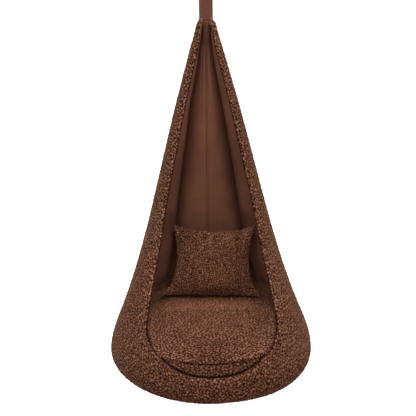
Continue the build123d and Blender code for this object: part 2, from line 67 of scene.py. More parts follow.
def placed(p):
    """Points of the pod's frame, in the shared frame."""
    return p @ POD + FOOT


def ease(a, b, x):
    t = np.clip((np.asarray(x, float) - a) / (b - a), 0.0, 1.0)
    return t * t * (3.0 - 2.0 * t)


def line_through(points, per=40):
    """A smooth line through the points, as many close points."""
    p = np.array(points, float)
    t = np.concatenate([[0.0], np.cumsum(np.linalg.norm(np.diff(p, axis=0), axis=1))])
    slope = np.diff(p, axis=0) / np.diff(t)[:, None]
    m = np.empty_like(p)
    m[0], m[-1] = slope[0], slope[-1]
    left, right = np.diff(t)[:-1, None], np.diff(t)[1:, None]
    m[1:-1] = (slope[:-1] * right + slope[1:] * left) / (left + right)
    out = []
    for i in range(len(p) - 1):
        h = t[i + 1] - t[i]
        u = np.linspace(0.0, 1.0, per, endpoint=False)[:, None]
        out.append(
            (2 * u**3 - 3 * u**2 + 1) * p[i]
            + (u**3 - 2 * u**2 + u) * h * m[i]
            + (-2 * u**3 + 3 * u**2) * p[i + 1]
            + (u**3 - u**2) * h * m[i + 1]
        )
    out.append(p[-1:])
    return np.concatenate(out)


def lengths(p):
    return np.concatenate([[0.0], np.cumsum(np.linalg.norm(np.diff(p, axis=0), axis=1))])


def unit(v):
    return v / np.maximum(np.linalg.norm(v, axis=-1, keepdims=True), 1e-12)


# ------------------------------------------------------------------ outline of the pod
rounding = [
    (0.290 + 0.160 * math.cos(math.radians(a)), 0.062 + 0.062 * math.sin(math.radians(a)))
    for a in (-86, -75, -60, -45, -30, -15)
]
wall = [
    (0.4499, 0.062), (0.4470, 0.090), (0.4415, 0.115), (0.4340, 0.140), (0.4252, 0.165),
    (0.4155, 0.190), (0.4033, 0.220), (0.3863, 0.262), (0.3680, 0.310), (0.3500, 0.360),
    (0.3296, 0.420), (0.3040, 0.500), (0.2743, 0.600), (0.2415, 0.720), (0.2075, 0.850),
    (0.1686, 1.000), (0.1288, 1.150), (0.0919, 1.280), (0.0662, 1.370), (0.0479, 1.430),
    (0.0360, 1.471), (0.0306, 1.480), (0.0256, 1.487), (0.0200, 1.4905), (0.0130, 1.4925),
    (0.0060, 1.4935),
]
SUNK = 0.0020  # the yarn's middle lies this far inside the tips of its curls
OUT = line_through([(0.2960, 0.0001)] + rounding + wall)
OUT_S = lengths(OUT)
OUT_T = unit(np.gradient(OUT, OUT_S, axis=0))
OUT = OUT - SUNK * np.stack([OUT_T[:, 1], -OUT_T[:, 0]], 1)
OUT_S = lengths(OUT)
UPWARD = OUT[:, 1] > 0.061


def out_at(s):
    """Radius, height and normal of the outline at a length along it."""
    r, z = np.interp(s, OUT_S, OUT[:, 0]), np.interp(s, OUT_S, OUT[:, 1])
    tr, tz = np.interp(s, OUT_S, OUT_T[:, 0]), np.interp(s, OUT_S, OUT_T[:, 1])
    n = np.hypot(tr, tz)
    return r, z, tz / n, -tr / n


def s_at(z):
    return np.interp(z, OUT[UPWARD, 1], OUT_S[UPWARD])


def r_at(z):
    return np.interp(z, OUT[UPWARD, 1], OUT[UPWARD, 0])


# opening: half width and height
edge = line_through([
    (0.0, 0.1450), (0.055, 0.1460), (0.1065, 0.1515), (0.152, 0.1620), (0.193, 0.1775),
    (0.2285, 0.197), (0.2600, 0.226), (0.2765, 0.266), (0.2715, 0.312), (0.248, 0.430),
    (0.214, 0.590), (0.1755, 0.792), (0.131, 0.993), (0.088, 1.186), (0.064, 1.281),
    (0.040, 1.374), (0.018, 1.466), (0.013, 1.478),
])


def roll_at(z):
    """Radius of the rolled edge at a height."""
    return np.interp(
        z, [0.0, 0.165, 0.26, 0.42, 1.20, 1.40, 1.478], [0.0140, 0.0140, 0.0095, 0.0080, 0.0080, 0.0070, 0.0055]
    )


edge_t = unit(np.gradient(edge, lengths(edge), axis=0))
edge_t[0] = (1.0, 0.0)
cut = edge + roll_at(edge[:, 1])[:, None] * np.stack([edge_t[:, 1], -edge_t[:, 0]], 1)
SPLIT = 0.200  # height where the sides begin
turn = int(np.argmax(cut[:, 1] >= SPLIT))


def cut_azimuth(z):
    """Azimuth from the front where the curled side ends, for heights above the split."""
    x = np.interp(z, cut[turn - 1:, 1], cut[turn - 1:, 0])
    return np.arcsin(np.clip(x / np.maximum(r_at(z), 1e-4), 0.0, 1.0))


low_azimuth = np.arcsin(cut[: turn + 2, 0] / r_at(cut[: turn + 2, 1]))
low_height = cut[: turn + 2, 1]

# ------------------------------------------------------------------ curls of the fabric
SEEDS = np.random.default_rng(41).random((64, 64, 64, 4), dtype=np.float32)


def cells(p, size):
    """Distance to the nearest and next nub centre, in cells, and a number for the nub."""
    q = (p / size).astype(np.float32)
    home = np.floor(q).astype(np.int32)
    near = np.full(len(p), 9.0, np.float32)
    after = near.copy()
    own = np.zeros(len(p), np.float32)
    for i in (-1, 0, 1):
        for j in (-1, 0, 1):
            for k in (-1, 0, 1):
                c = home + np.array([i, j, k], np.int32)
                s = SEEDS[c[:, 0] & 63, c[:, 1] & 63, c[:, 2] & 63]
                d = c + 0.06 + 0.88 * s[:, :3] - q
                d = (d * d).sum(1)
                closer = d < near
                after = np.where(closer, near, np.minimum(after, d))
                own = np.where(closer, s[:, 3], own)
                near = np.where(closer, d, near)
    return np.sqrt(near), np.sqrt(after), own


def swirled(p, size):
    w = 2.0 * math.pi / (size * 3.3)
    x, y, z = p[:, 0] * w, p[:, 1] * w, p[:, 2] * w
    bend = np.stack([
        np.sin(1.07 * y + 1.9 * np.sin(0.61 * z)) + 0.6 * np.sin(2.3 * z + 1.1),
        np.sin(0.93 * z + 1.7 * np.sin(0.67 * x)) + 0.6 * np.sin(2.1 * x + 2.3),
        np.sin(1.11 * x + 1.8 * np.sin(0.59 * y)) + 0.6 * np.sin(2.2 * y + 0.4),
    ], 1)
    return p + 0.25 * size * bend


class Curls:
    """Nubs of curled yarn picked from a surface's points, no two closer than the gap."""

    def __init__(self, p, gap, seed, finer=lambda z: np.ones(len(z))):
        rng = np.random.default_rng(seed)
        order = rng.permutation(len(p))[: int(len(p) * 0.45)]
        spots, grid = [], {}
        at, home = p[order].tolist(), np.floor(p[order] / gap).astype(int).tolist()
        limits = ((gap * finer(p[order, 2])) ** 2).tolist()
        around_it = [(i, j, k) for i in (-1, 0, 1) for j in (-1, 0, 1) for k in (-1, 0, 1)]
        for (x, y, z), (i, j, k), limit in zip(at, home, limits):
            free = True
            for di, dj, dk in around_it:
                for a, b, c in grid.get((i + di, j + dj, k + dk), ()):
                    if (x - a) ** 2 + (y - b) ** 2 + (z - c) ** 2 < limit:
                        free = False
                        break
                if not free:
                    break
            if free:
                grid.setdefault((i, j, k), []).append((x, y, z))
                spots.append((x, y, z))
        self.gap = gap
        self.own = rng.random(len(spots))
        self.tree = KDTree(len(spots))
        for n, spot in enumerate(spots):
            self.tree.insert(spot, n)
        self.tree.balance()

    def height(self, p):
        """Height of the yarn from 0 in the gaps to 1, and a number for each nub."""
        far, which = np.empty((len(p), 3)), np.empty((len(p), 3), int)
        find = self.tree.find_n
        for n, q in enumerate(swirled(p, self.gap).tolist()):
            (_, i, d), (_, j, e), (_, k, f) = find(q, 3)
            far[n] = d, e, f
            which[n] = i, j, k
        far *= 1.14 - 0.28 * self.own[which]
        sort = far.argsort(1)
        own = np.take_along_axis(self.own[which], sort[:, :1], 1)[:, 0]
        near, after, third = np.maximum(np.take_along_axis(far, sort, 1), 1e-5).T
        # lowest where three nubs meet, less low along the line between two
        h = 1.0 - 0.40 * (near / after) ** 2.6 - 0.60 * (near / third) ** 2.2
        h = h * (0.857 + 0.126 * own)
        near, after, _ = cells(swirled(p + 3.7, self.gap * 0.55), self.gap * 0.55)
        fine = 1.0 - (near / np.maximum(after, 1e-4)) ** 4
        return np.clip(0.74 * h + 0.26 * fine * (0.30 + 0.70 * h), 0.0, 1.0), own


POD_GAP, SEAT_GAP, PILLOW_GAP = 0.0101, 0.0098, 0.0083
CURL_HEIGHT, CURL_LEVEL = 0.0100, 0.62


# ------------------------------------------------------------------ meshes
def zipped(ia, ua, ib, ub):
    """Triangles between two rows of points whose parameters rise from 0 to 1."""
    key = np.concatenate([ua[1:], ub[1:]])
    from_b = np.concatenate([np.zeros(len(ia) - 1, int), np.ones(len(ib) - 1, int)])
    from_b = from_b[np.lexsort((from_b, key))]
    a, b = np.cumsum(from_b == 0), np.cumsum(from_b == 1)
    one = from_b == 0
    t = np.empty((len(from_b), 3), int)
    t[one] = np.stack([ia[a[one] - 1], ia[a[one]], ib[b[one]]], 1)
    t[~one] = np.stack([ia[a[~one]], ib[b[~one]], ib[b[~one] - 1]], 1)
    return t


class Build:
    """Points with normals, and the triangles between them."""

    def __init__(self):
        self.p, self.n, self.f, self.c, self.t, self.count = [], [], [], [], [], 0

    # tone scales the colour of the yarn at these points; it carries painted shade and painted light
    def add(self, p, n, fade=1.0, tone=1.0):
        ids = np.arange(self.count, self.count + len(p))
        self.p.append(p)
        self.n.append(n)
        self.f.append(np.broadcast_to(np.asarray(fade, float), (len(p),)))
        self.c.append(np.broadcast_to(np.asarray(tone, float), (len(p),)))
        self.count += len(p)
        return ids

    def skin(self):
        """The points that carry curls."""
        return np.concatenate(self.p)[np.concatenate(self.f) > 0.5]

    def zip(self, ia, ua, ib, ub):
        self.t.append(zipped(np.asarray(ia), np.asarray(ua, float), np.asarray(ib), np.asarray(ub, float)))

    def tri(self, t):
        self.t.append(np.asarray(t, int))

    def curled(self, curls, scale=1.0, open_at=None):
        """Points with the yarn's curls on them, and the two numbers for the material: the yarn's height times the
        tone, which carries painted shade and painted light, and a number for each nub.
        """
        p, n, f, c = (np.concatenate(v) for v in (self.p, self.n, self.f, self.c))
        h, own = curls.height(p)
        lift = (h - CURL_LEVEL) * CURL_HEIGHT * scale * f
        # the fabric lies closer over the cup at the top
        lift = np.where(f > 0.5, np.maximum(lift, -0.0062 + 0.0052 * ease(1.36, 1.42, p[:, 2])), lift)
        raised = p + n * lift[:, None]
        if open_at is not None:
            # a looser stretch of the fabric shows more of its gaps
            h = np.clip(0.63 + (h - 0.63) * (open_at(p) if callable(open_at) else np.interp(p[:, 2], *open_at)), 0.0, 1.0)
        return raised, h * c, own


def object_from(name, p, faces, body, recalc=True, **numbers):
    """A mesh object in the shared frame that rides on a body."""
    mesh = bpy.data.meshes.new(name)
    faces = np.asarray(faces)
    k = faces.shape[1]
    mesh.vertices.add(len(p))
    mesh.vertices.foreach_set("co", np.ascontiguousarray(p, np.float32).ravel())
    mesh.loops.add(faces.size)
    mesh.loops.foreach_set("vertex_index", np.ascontiguousarray(faces, np.int32).ravel())
    mesh.polygons.add(len(faces))
    mesh.polygons.foreach_set("loop_start", np.arange(0, faces.size, k, dtype=np.int32))
    mesh.update(calc_edges=True)
    mesh.validate()
    for key, value in numbers.items():
        layer = mesh.attributes.new(key, "FLOAT", "POINT")
        layer.data.foreach_set("value", np.ascontiguousarray(value, np.float32))
    if recalc:
        b = bmesh.new()
        b.from_mesh(mesh)
        bmesh.ops.recalc_face_normals(b, faces=b.faces)
        b.to_mesh(mesh)
        b.free()
    mesh.polygons.foreach_set("use_smooth", np.ones(len(mesh.polygons), bool))
    mesh.update()
    o = bpy.data.objects.new(name, mesh)
    bpy.context.scene.collection.objects.link(o)
    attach(o, body)
    return o


def around(r, z, nr, nz, az):
    """Points and normals at azimuths from the front, positive to the right."""
    az = np.asarray(az, float)
    p = np.stack([r * np.sin(az), -r * np.cos(az), np.full(az.shape, z)], 1)
    n = np.stack([nr * np.sin(az), -nr * np.cos(az), np.full(az.shape, nz)], 1)
    return p, n


# ------------------------------------------------------------------ materials
def shader(name):
    mat = bpy.data.materials.new(name)
    mat.use_nodes = True
    tree = mat.node_tree
    return mat, tree, tree.nodes["Principled BSDF"]


def add(tree, kind, **values):
    node = tree.nodes.new(kind)
    for key, value in values.items():
        if key in node.inputs:
            node.inputs[key].default_value = value
        else:
            setattr(node, key, value)
    return node


def coords(tree):
    return add(tree, "ShaderNodeTexCoord").outputs["Object"]


def ramp(tree, value, stops):
    node = add(tree, "ShaderNodeValToRGB")
    e = node.color_ramp.elements
    while len(e) < len(stops):
        e.new(0.5)
    for i, (at, c) in enumerate(stops):
        e[i].position = at
        e[i].color = (*c, 1.0) if len(c) == 3 else c
    tree.links.new(value, node.inputs["Fac"])
    return node.outputs["Color"]


def grey(v):
    return (v, v, v)


def noise(tree, vector, scale, detail=3.0, rough=0.6):
    node = add(tree, "ShaderNodeTexNoise")
    node.inputs["Scale"].default_value = scale
    node.inputs["Detail"].default_value = detail
    node.inputs["Roughness"].default_value = rough
    tree.links.new(vector, node.inputs["Vector"])
    return node.outputs["Fac"]


def mixed(tree, a, b, factor, blend="MULTIPLY"):
    node = add(tree, "ShaderNodeMix", data_type="RGBA", blend_type=blend)
    for socket, value in ((node.inputs[6], a), (node.inputs[7], b), (node.inputs[0], factor)):
        if isinstance(value, (int, float)):
            socket.default_value = value
        elif isinstance(value, tuple):
            socket.default_value = (*value, 1.0)
        else:
            tree.links.new(value, socket)
    return node.outputs[2]


def bump(tree, height, strength, distance, under=None):
    node = add(tree, "ShaderNodeBump")
    node.inputs["Strength"].default_value = strength
    node.inputs["Distance"].default_value = distance
    tree.links.new(height, node.inputs["Height"])
    if under is not None:
        tree.links.new(under, node.inputs["Normal"])
    return node.outputs["Normal"]


def attribute(tree, name):
    return add(tree, "ShaderNodeAttribute", attribute_name=name).outputs["Fac"]


def boucle_material():
    mat, tree, b = shader("boucle")
    v = coords(tree)
    curl, tuft = attribute(tree, "curl"), attribute(tree, "tuft")
    # the yarn's height, with painted shade and light multiplied in, sets the colour: painted shade, near black, in
    # the gaps between nubs and a painted highlight on their tops
    colour = ramp(tree, curl, [
        (0.16, (0.0018, 0.0005, 0.0002)), (0.42, (0.019, 0.0060, 0.0024)),
        (0.68, (0.090, 0.0348, 0.0184)), (0.97, (0.208, 0.0985, 0.0610)),
    ])
    colour = mixed(tree, colour, ramp(tree, tuft, [(0.0, grey(0.875)), (1.0, grey(1.065))]), 1.0)
    # painted light: the lit attribute brightens the colour up to 2.4 times
    colour = mixed(tree, colour, ramp(tree, attribute(tree, "lit"), [(0.0, grey(1.0)), (1.0, grey(2.4))]), 1.0)
    yarn = noise(tree, v, 620.0, 3.0, 0.65)
    colour = mixed(tree, colour, ramp(tree, yarn, [(0.30, grey(0.74)), (0.70, grey(1.18))]), 1.0)
    tree.links.new(colour, b.inputs["Base Color"])
    rough = ramp(tree, yarn, [(0.2, grey(0.84)), (0.8, grey(0.98))])
    tree.links.new(rough, b.inputs["Roughness"])
    fibre = noise(tree, v, 1500.0, 2.0, 0.6)
    normal = bump(tree, yarn, 0.55, 0.0011)
    normal = bump(tree, fibre, 0.30, 0.0004, normal)
    tree.links.new(normal, b.inputs["Normal"])
    b.inputs["Specular IOR Level"].default_value = 0.04
    b.inputs["Sheen Weight"].default_value = 0.05
    b.inputs["Sheen Roughness"].default_value = 0.55
    b.inputs["Sheen Tint"].default_value = (0.80, 0.42, 0.26, 1.0)
    return mat


def suede_material(name, pale, seam=True):
    mat, tree, b = shader(name)
    v = coords(tree)
    cloud = noise(tree, v, 9.0, 4.0, 0.55)
    nap = noise(tree, v, 260.0, 4.0, 0.6)
    fine = noise(tree, v, 1900.0, 2.0, 0.6)
    low = tuple(0.86 * c for c in pale)
    high = tuple(1.10 * c for c in pale)
    colour = ramp(tree, cloud, [(0.28, low), (0.72, high)])
    colour = mixed(tree, colour, ramp(tree, nap, [(0.30, grey(0.90)), (0.70, grey(1.08))]), 1.0)
    if seam:
        # painted shade and painted light: attributes darken seam grooves, creases, gathers and the folds, and lighten
        # the strips that catch light
        colour = mixed(tree, colour, ramp(tree, attribute(tree, "seam"), [(0.0, grey(1.0)), (1.0, grey(0.42))]), 1.0)
        colour = mixed(tree, colour, ramp(tree, attribute(tree, "pale"), [(0.0, grey(1.0)), (1.0, grey(1.80))]), 1.0)
        colour = mixed(tree, colour, ramp(tree, attribute(tree, "fold"), [(0.0, grey(1.0)), (1.0, (0.245, 0.185, 0.135))]), 1.0)
    tree.links.new(colour, b.inputs["Base Color"])
    tree.links.new(ramp(tree, nap, [(0.25, grey(0.80)), (0.75, grey(0.95))]), b.inputs["Roughness"])
    normal = bump(tree, nap, 0.22, 0.0006)
    normal = bump(tree, fine, 0.30, 0.0002, normal)
    tree.links.new(normal, b.inputs["Normal"])
    b.inputs["Specular IOR Level"].default_value = 0.10
    b.inputs["Sheen Weight"].default_value = 0.05
    b.inputs["Sheen Roughness"].default_value = 0.50
    b.inputs["Sheen Tint"].default_value = (0.85, 0.52, 0.38, 1.0)
    return mat


def woven_material(name, dark, pale, pitch, vertical=True):
    """Twill: slanting ribs across the length of the cloth."""
    mat, tree, b = shader(name)
    v = coords(tree)
    ribs = add(tree, "ShaderNodeTexWave", wave_type="BANDS", bands_direction="DIAGONAL")
    ribs.inputs["Scale"].default_value = 0.314 / pitch
    ribs.inputs["Distortion"].default_value = 0.6
    ribs.inputs["Detail"].default_value = 1.0
    tree.links.new(v, ribs.inputs["Vector"])
    across = add(tree, "ShaderNodeTexWave", wave_type="BANDS", bands_direction="X" if vertical else "Z")
    across.inputs["Scale"].default_value = 0.314 / (pitch * 1.6)
    across.inputs["Distortion"].default_value = 0.4
    tree.links.new(v, across.inputs["Vector"])
    weave = mixed(tree, ribs.outputs["Color"], across.outputs["Color"], 0.45, "MIX")
    cloud = noise(tree, v, 40.0, 3.0)
    colour = ramp(tree, weave, [(0.15, dark), (0.85, pale)])
    colour = mixed(tree, colour, ramp(tree, cloud, [(0.3, grey(0.82)), (0.7, grey(1.10))]), 1.0)
    tree.links.new(colour, b.inputs["Base Color"])
    tree.links.new(ramp(tree, cloud, [(0.2, grey(0.72)), (0.8, grey(0.88))]), b.inputs["Roughness"])
    tree.links.new(bump(tree, weave, 0.7, pitch * 0.35), b.inputs["Normal"])
    b.inputs["Specular IOR Level"].default_value = 0.25
    return mat


def metal_material(name, colour, rough, metallic=1.0, scale=60.0, brushed=False):
    mat, tree, b = shader(name)
    v = coords(tree)
    if brushed:
        stretch = add(tree, "ShaderNodeMapping")
        stretch.inputs["Scale"].default_value = (1.0, 1.0, 0.06)
        tree.links.new(v, stretch.inputs["Vector"])
        v = stretch.outputs["Vector"]
    mottle = noise(tree, v, scale, 4.0, 0.6)
    fine = noise(tree, v, scale * 22.0, 2.0, 0.6)
    tone = ramp(tree, mottle, [(0.25, tuple(0.80 * c for c in colour)), (0.75, tuple(min(1.0, 1.12 * c) for c in colour))])
    worn = mixed(tree, tone, ramp(tree, fine, [(0.3, grey(0.90)), (0.7, grey(1.06))]), 1.0)
    tree.links.new(worn, b.inputs["Base Color"])
    tree.links.new(ramp(tree, mottle, [(0.2, grey(rough * 0.75)), (0.8, grey(min(1.0, rough * 1.3)))]), b.inputs["Roughness"])
    tree.links.new(bump(tree, fine, 0.12, 0.0002), b.inputs["Normal"])
    b.inputs["Metallic"].default_value = metallic
    return mat


def plywood_material():
    mat, tree, b = shader("plywood")
    v = coords(tree)
    stretch = add(tree, "ShaderNodeMapping")
    stretch.inputs["Scale"].default_value = (1.0, 9.0, 9.0)
    tree.links.new(v, stretch.inputs["Vector"])
    grain = noise(tree, stretch.outputs["Vector"], 12.0, 5.0, 0.6)
    plies = add(tree, "ShaderNodeTexWave", wave_type="BANDS", bands_direction="Z")
    plies.inputs["Scale"].default_value = 130.0
    tree.links.new(v, plies.inputs["Vector"])
    colour = ramp(tree, grain, [(0.3, (0.36, 0.22, 0.11)), (0.7, (0.60, 0.43, 0.26))])
    colour = mixed(tree, colour, ramp(tree, plies.outputs["Color"], [(0.2, grey(0.80)), (0.8, grey(1.05))]), 1.0)
    tree.links.new(colour, b.inputs["Base Color"])
    tree.links.new(ramp(tree, grain, [(0.2, grey(0.55)), (0.8, grey(0.75))]), b.inputs["Roughness"])
    tree.links.new(bump(tree, grain, 0.2, 0.0005), b.inputs["Normal"])
    return mat


BOUCLE = boucle_material()
LINING = suede_material("suede_lining", (0.150, 0.0590, 0.0345))
SLEEVE = suede_material("strap_fabric", (0.0745, 0.0286, 0.0171))
THREAD = woven_material("sewing_thread", (0.070, 0.0290, 0.0180), (0.170, 0.0740, 0.0480), 0.0006)
WEBBING = woven_material("webbing", (0.030, 0.0120, 0.0075), (0.095, 0.0400, 0.0250), 0.0016)
UNDERCLOTH = woven_material("bottom_cloth", (0.016, 0.0070, 0.0045), (0.055, 0.0250, 0.0165), 0.0012)
METALS = {
    "black_steel": metal_material("black_steel", (0.030, 0.030, 0.031), 0.42, 0.0, 45.0),
    "zinc_steel": metal_material("zinc_steel", (0.58, 0.58, 0.59), 0.34, 1.0, 70.0, True),
    "spring_steel": metal_material("spring_steel", (0.36, 0.36, 0.38), 0.30, 1.0, 80.0),
    "bearing_steel": metal_material("bearing_steel", (0.62, 0.62, 0.64), 0.16, 1.0, 90.0),
    "bronze": metal_material("bronze", (0.52, 0.34, 0.16), 0.38, 1.0, 60.0),
}
METALS["black_steel"].node_tree.nodes["Principled BSDF"].inputs["Coat Weight"].default_value = 0.25
PLYWOOD = plywood_material()

# ------------------------------------------------------------------ pod: base
COLUMNS = 1056
az = -math.pi + 2.0 * math.pi * np.arange(COLUMNS) / COLUMNS
corner = int(np.searchsorted(az, float(cut_azimuth(SPLIT)), side="left"))  # first column of the right side
mirror = (COLUMNS - corner) % COLUMNS
front = np.arange(mirror, corner + 1)
top_z = np.full(COLUMNS, SPLIT)
top_z[front] = np.interp(np.abs(az[front]), low_azimuth, low_height)
top_z[[corner, mirror]] = SPLIT
base_rows = 126


def sagged(p):
    """The padding hangs a little lower at the front, most of all to the right."""
    front = ease(0.30, -0.05, p[:, 1])
    down = 0.0150 * ease(0.04, 0.36, p[:, 0]) * front * ease(0.135, 0.030, p[:, 2]) + 0.0030 * front * ease(0.080, 0.010, p[:, 2])
    return p - np.stack([np.zeros(len(p)), np.zeros(len(p)), down], 1)


base = Build()
top_s = s_at(top_z)
rows = []
for k in range(base_rows + 1):
    s = top_s * (k / base_rows)
    r, z, nr, nz = out_at(s)
    p = np.stack([r * np.sin(az), -r * np.cos(az), z], 1)
    n = np.stack([nr * np.sin(az), -nr * np.cos(az), nz], 1)
    # painted shade: the base is darker towards its underside, and darker across the front and back than at the sides
    rows.append(base.add(sagged(p), n, 1.0 if k > 1 else 0.4 * k, (1.0 - 0.075 * ease(0.150, 0.060, z)) * (0.925 + 0.125 * ease(0.16, 0.44, np.abs(p[:, 0])))))
ring = np.concatenate([np.arange(COLUMNS), [0]])
lo, hi = ring[:-1], ring[1:]
for a, b in zip(rows[:-1], rows[1:]):
    base.tri(np.concatenate([np.stack([a[lo], a[hi], b[hi]], 1), np.stack([a[lo], b[hi], b[lo]], 1)]))
base_top_p, base_top_n = base.p[-1], base.n[-1]
# inner face of the padded base
few = np.arange(0, COLUMNS, 6)
inner_rows = []
for k in np.linspace(0, base_rows, 20):
    s = top_s[few] * (k / base_rows)
    r, z, nr, nz = out_at(s)
    p = np.stack([r * np.sin(az[few]), -r * np.cos(az[few]), z], 1)
    n = np.stack([nr * np.sin(az[few]), -nr * np.cos(az[few]), nz], 1)
    inner_rows.append(base.add(sagged(p) - n * 0.0135, -n, 0.0))
cl = np.concatenate([np.arange(len(few)), [0]])
for a, b in zip(inner_rows[:-1], inner_rows[1:]):
    base.tri(np.concatenate([np.stack([a[cl[:-1]], b[cl[1:]], a[cl[1:]]], 1), np.stack([a[cl[:-1]], b[cl[:-1]], b[cl[1:]]], 1)]))
u_all, u_few = np.arange(COLUMNS + 1) / COLUMNS, np.arange(0, COLUMNS + 1, 6) / COLUMNS
base.zip(rows[0][ring], u_all, inner_rows[0][cl], u_few)
base.zip(rows[-1][ring], u_all, inner_rows[-1][cl], u_few)

# ------------------------------------------------------------------ pod: sides
s0, s1 = float(s_at(SPLIT)), float(OUT_S[-1])
side_rows = int(round((s1 - s0) / STEP))
row_s = np.linspace(s0, s1, side_rows + 1)
edge_right_p, edge_right_n = [], []
sides = {}
for name, sign in (("pod_right", 1.0), ("pod_left", -1.0)):
    side = Build()
    ids, params, ends_p, ends_n = [], [], [], []
    for k, s in enumerate(row_s):
        r, z, nr, nz = (float(v) for v in out_at(s))
        if k == 0:
            a = az[corner:] if sign > 0 else np.concatenate([-az[mirror:0:-1]])
            a = np.concatenate([a, [math.pi]])
        else:
            start = float(cut_azimuth(z))
            count = max(4, int(round((math.pi - start) * r / STEP)))
            a = np.linspace(start, math.pi, count + 1)
        p, n = around(r, z, nr, nz, sign * a)
        # sewn seam down the middle of the back
        seam = np.exp(-(((math.pi - a) * r) / 0.0042) ** 2)
        p = p - n * (0.0032 * seam * ease(1.420, 1.360, z))[:, None]
        ids.append(side.add(p, n))
        params.append((a - a[0]) / (a[-1] - a[0]))
        ends_p.append(p[0])
        ends_n.append(n[0])
    for k in range(side_rows):
        side.zip(ids[k], params[k], ids[k + 1], params[k + 1])
    inner_ids, inner_params, inner_at = [], [], []
    for k in np.unique(np.concatenate([np.arange(0, side_rows - 6, 6), [side_rows - 4]])):
        r, z, nr, nz = (float(v) for v in out_at(row_s[k]))
        start = float(cut_azimuth(z))
        count = max(3, int(round((math.pi - start) * r / (6 * STEP))))
        a = np.linspace(start, math.pi, count + 1)
        p, n = around(r, z, nr, nz, sign * a)
        inner_ids.append(side.add(p - n * min(0.013, 0.30 * r), -n, 0.0))
        inner_params.append((a - a[0]) / (a[-1] - a[0]))
        inner_at.append(k / side_rows)
    for k in range(len(inner_ids) - 1):
        side.zip(inner_ids[k + 1], inner_params[k + 1], inner_ids[k], inner_params[k])
    side.zip(inner_ids[0], inner_params[0], ids[0], params[0])
    side.zip(ids[-1], params[-1], inner_ids[-1], inner_params[-1])
    inner_at[-1] = 1.0
    at = np.arange(side_rows + 1) / side_rows
    for e in (0, -1):
        side.zip(np.array([i[e] for i in ids]), at, np.array([i[e] for i in inner_ids]), np.array(inner_at))
    sides[name] = side
    sides[name + "_edge"] = (np.array(ends_p), np.array(ends_n))

# ------------------------------------------------------------------ pod: rolled edge of the opening
lp, ln = sides["pod_left_edge"]
rp, rn = sides["pod_right_edge"]
keep = row_s <= s_at(1.4815)
path_p = np.concatenate([lp[keep][:0:-1], base_top_p[front], rp[keep][1:]])
path_n = np.concatenate([ln[keep][:0:-1], base_top_n[front], rn[keep][1:]])
along = unit(np.gradient(path_p, axis=0))
for _ in range(6):
    along[1:-1] = unit(along[:-2] + 2.0 * along[1:-1] + along[2:])
path_n = unit(path_n)
inward = unit(np.cross(path_n, along))
radius = roll_at(path_p[:, 2] + 0.010 * (path_p[:, 2] < 0.16))
# depth of the flat side behind the rounding
flat = np.interp(path_p[:, 2], [0.0, 0.150, 0.175, 0.26, 0.36, 1.20, 1.40, 1.478], [0.017, 0.017, 0.016, 0.016, 0.010, 0.007, 0.005, 0.003])
shade_from = np.interp(path_p[:, 2], [0.0, 0.155, 0.175, 0.22], [1.00, 1.00, 1.16, 1.24])
shade_in = np.interp(path_p[:, 2], [0.0, 0.165, 0.20, 0.26, 0.36, 0.46, 1.20, 1.45], [0.42, 0.46, 0.58, 0.62, 0.66, 0.72, 0.74, 0.60])
ROLL = 11
edge_roll = Build()
sections = []
for k in range(ROLL):
    a = 0.5 * math.pi * k / (ROLL - 1)
    n = math.cos(a) * path_n + math.sin(a) * inward
    p = path_p - radius[:, None] * path_n + radius[:, None] * n
    # the gaps close where the fabric is drawn in to its seam
    sections.append(edge_roll.add(p, n, 1.0 - 0.4 * float(ease(1.1, 1.5, a)), 1.0 - (1.0 - shade_in) * ease(0.0, 1.0, (a - shade_from) / (1.62 - shade_from))))
for t in (0.25, 0.5, 0.75, 1.0):
    p = path_p - (radius + t * flat)[:, None] * path_n + (radius * (1.0 - 0.25 * t * t))[:, None] * inward
    sections.append(edge_roll.add(p, inward, 0.60 * (1.0 - t), shade_in))
for back, deep in ((0.2, 1.06), (-0.4, 1.05), (-0.8, 0.75), (-0.35, 0.40)):
    p = path_p - (deep * (radius + flat))[:, None] * path_n + (back * radius)[:, None] * inward
    sections.append(edge_roll.add(p, -path_n, 0.0, shade_in))
count = len(path_p)
i = np.arange(count - 1)
for a, b in zip(sections, sections[1:] + sections[:1]):
    edge_roll.tri(np.concatenate([np.stack([a[i], b[i + 1], a[i + 1]], 1), np.stack([a[i], b[i], b[i + 1]], 1)]))
for e in (0, -1):
    loop = np.array([s[e] for s in sections])
    edge_roll.tri(np.stack([np.full(len(loop) - 2, loop[0]), loop[1:-1], loop[2:]], 1))
pod_curls = Curls(np.concatenate([v.skin() for v in (base, sides["pod_right"], sides["pod_left"], edge_roll)]), POD_GAP, 41, lambda z: np.interp(z, [0.14, 0.24, 0.45, 0.70, 1.0], [0.94, 0.98, 0.96, 0.90, 0.82]))


def curled_object(name, build, curls, scale=1.0, open_at=None, **more):
    p, h, own = build.curled(curls, scale, open_at)
    return object_from(name, placed(p), np.concatenate(build.t), "chair", curl=h, tuft=own, **more)


LOOSE = ([0.0, 0.14, 0.24, 0.60, 1.10], [1.02, 1.06, 1.16, 1.28, 1.20])
pod_base = curled_object("pod_base", base, pod_curls, 1.0, LOOSE)
pod_edge = curled_object("pod_edge", edge_roll, pod_curls, 1.0, LOOSE)
for name in ("pod_right", "pod_left"):
    sides[name] = curled_object(name, sides[name], pod_curls, 1.0, LOOSE)

# ------------------------------------------------------------------ pod: lining
INNER = ([0.06, 0.10, 0.135, 0.16, 0.185, 0.214, 0.262], [0.3870, 0.3873, 0.3880, 0.3885, 0.3880, 0.3830, 0.3683])


def lining_radius(z):
    return np.where(z < 0.262, np.interp(z, *INNER), r_at(z) - 0.0180)


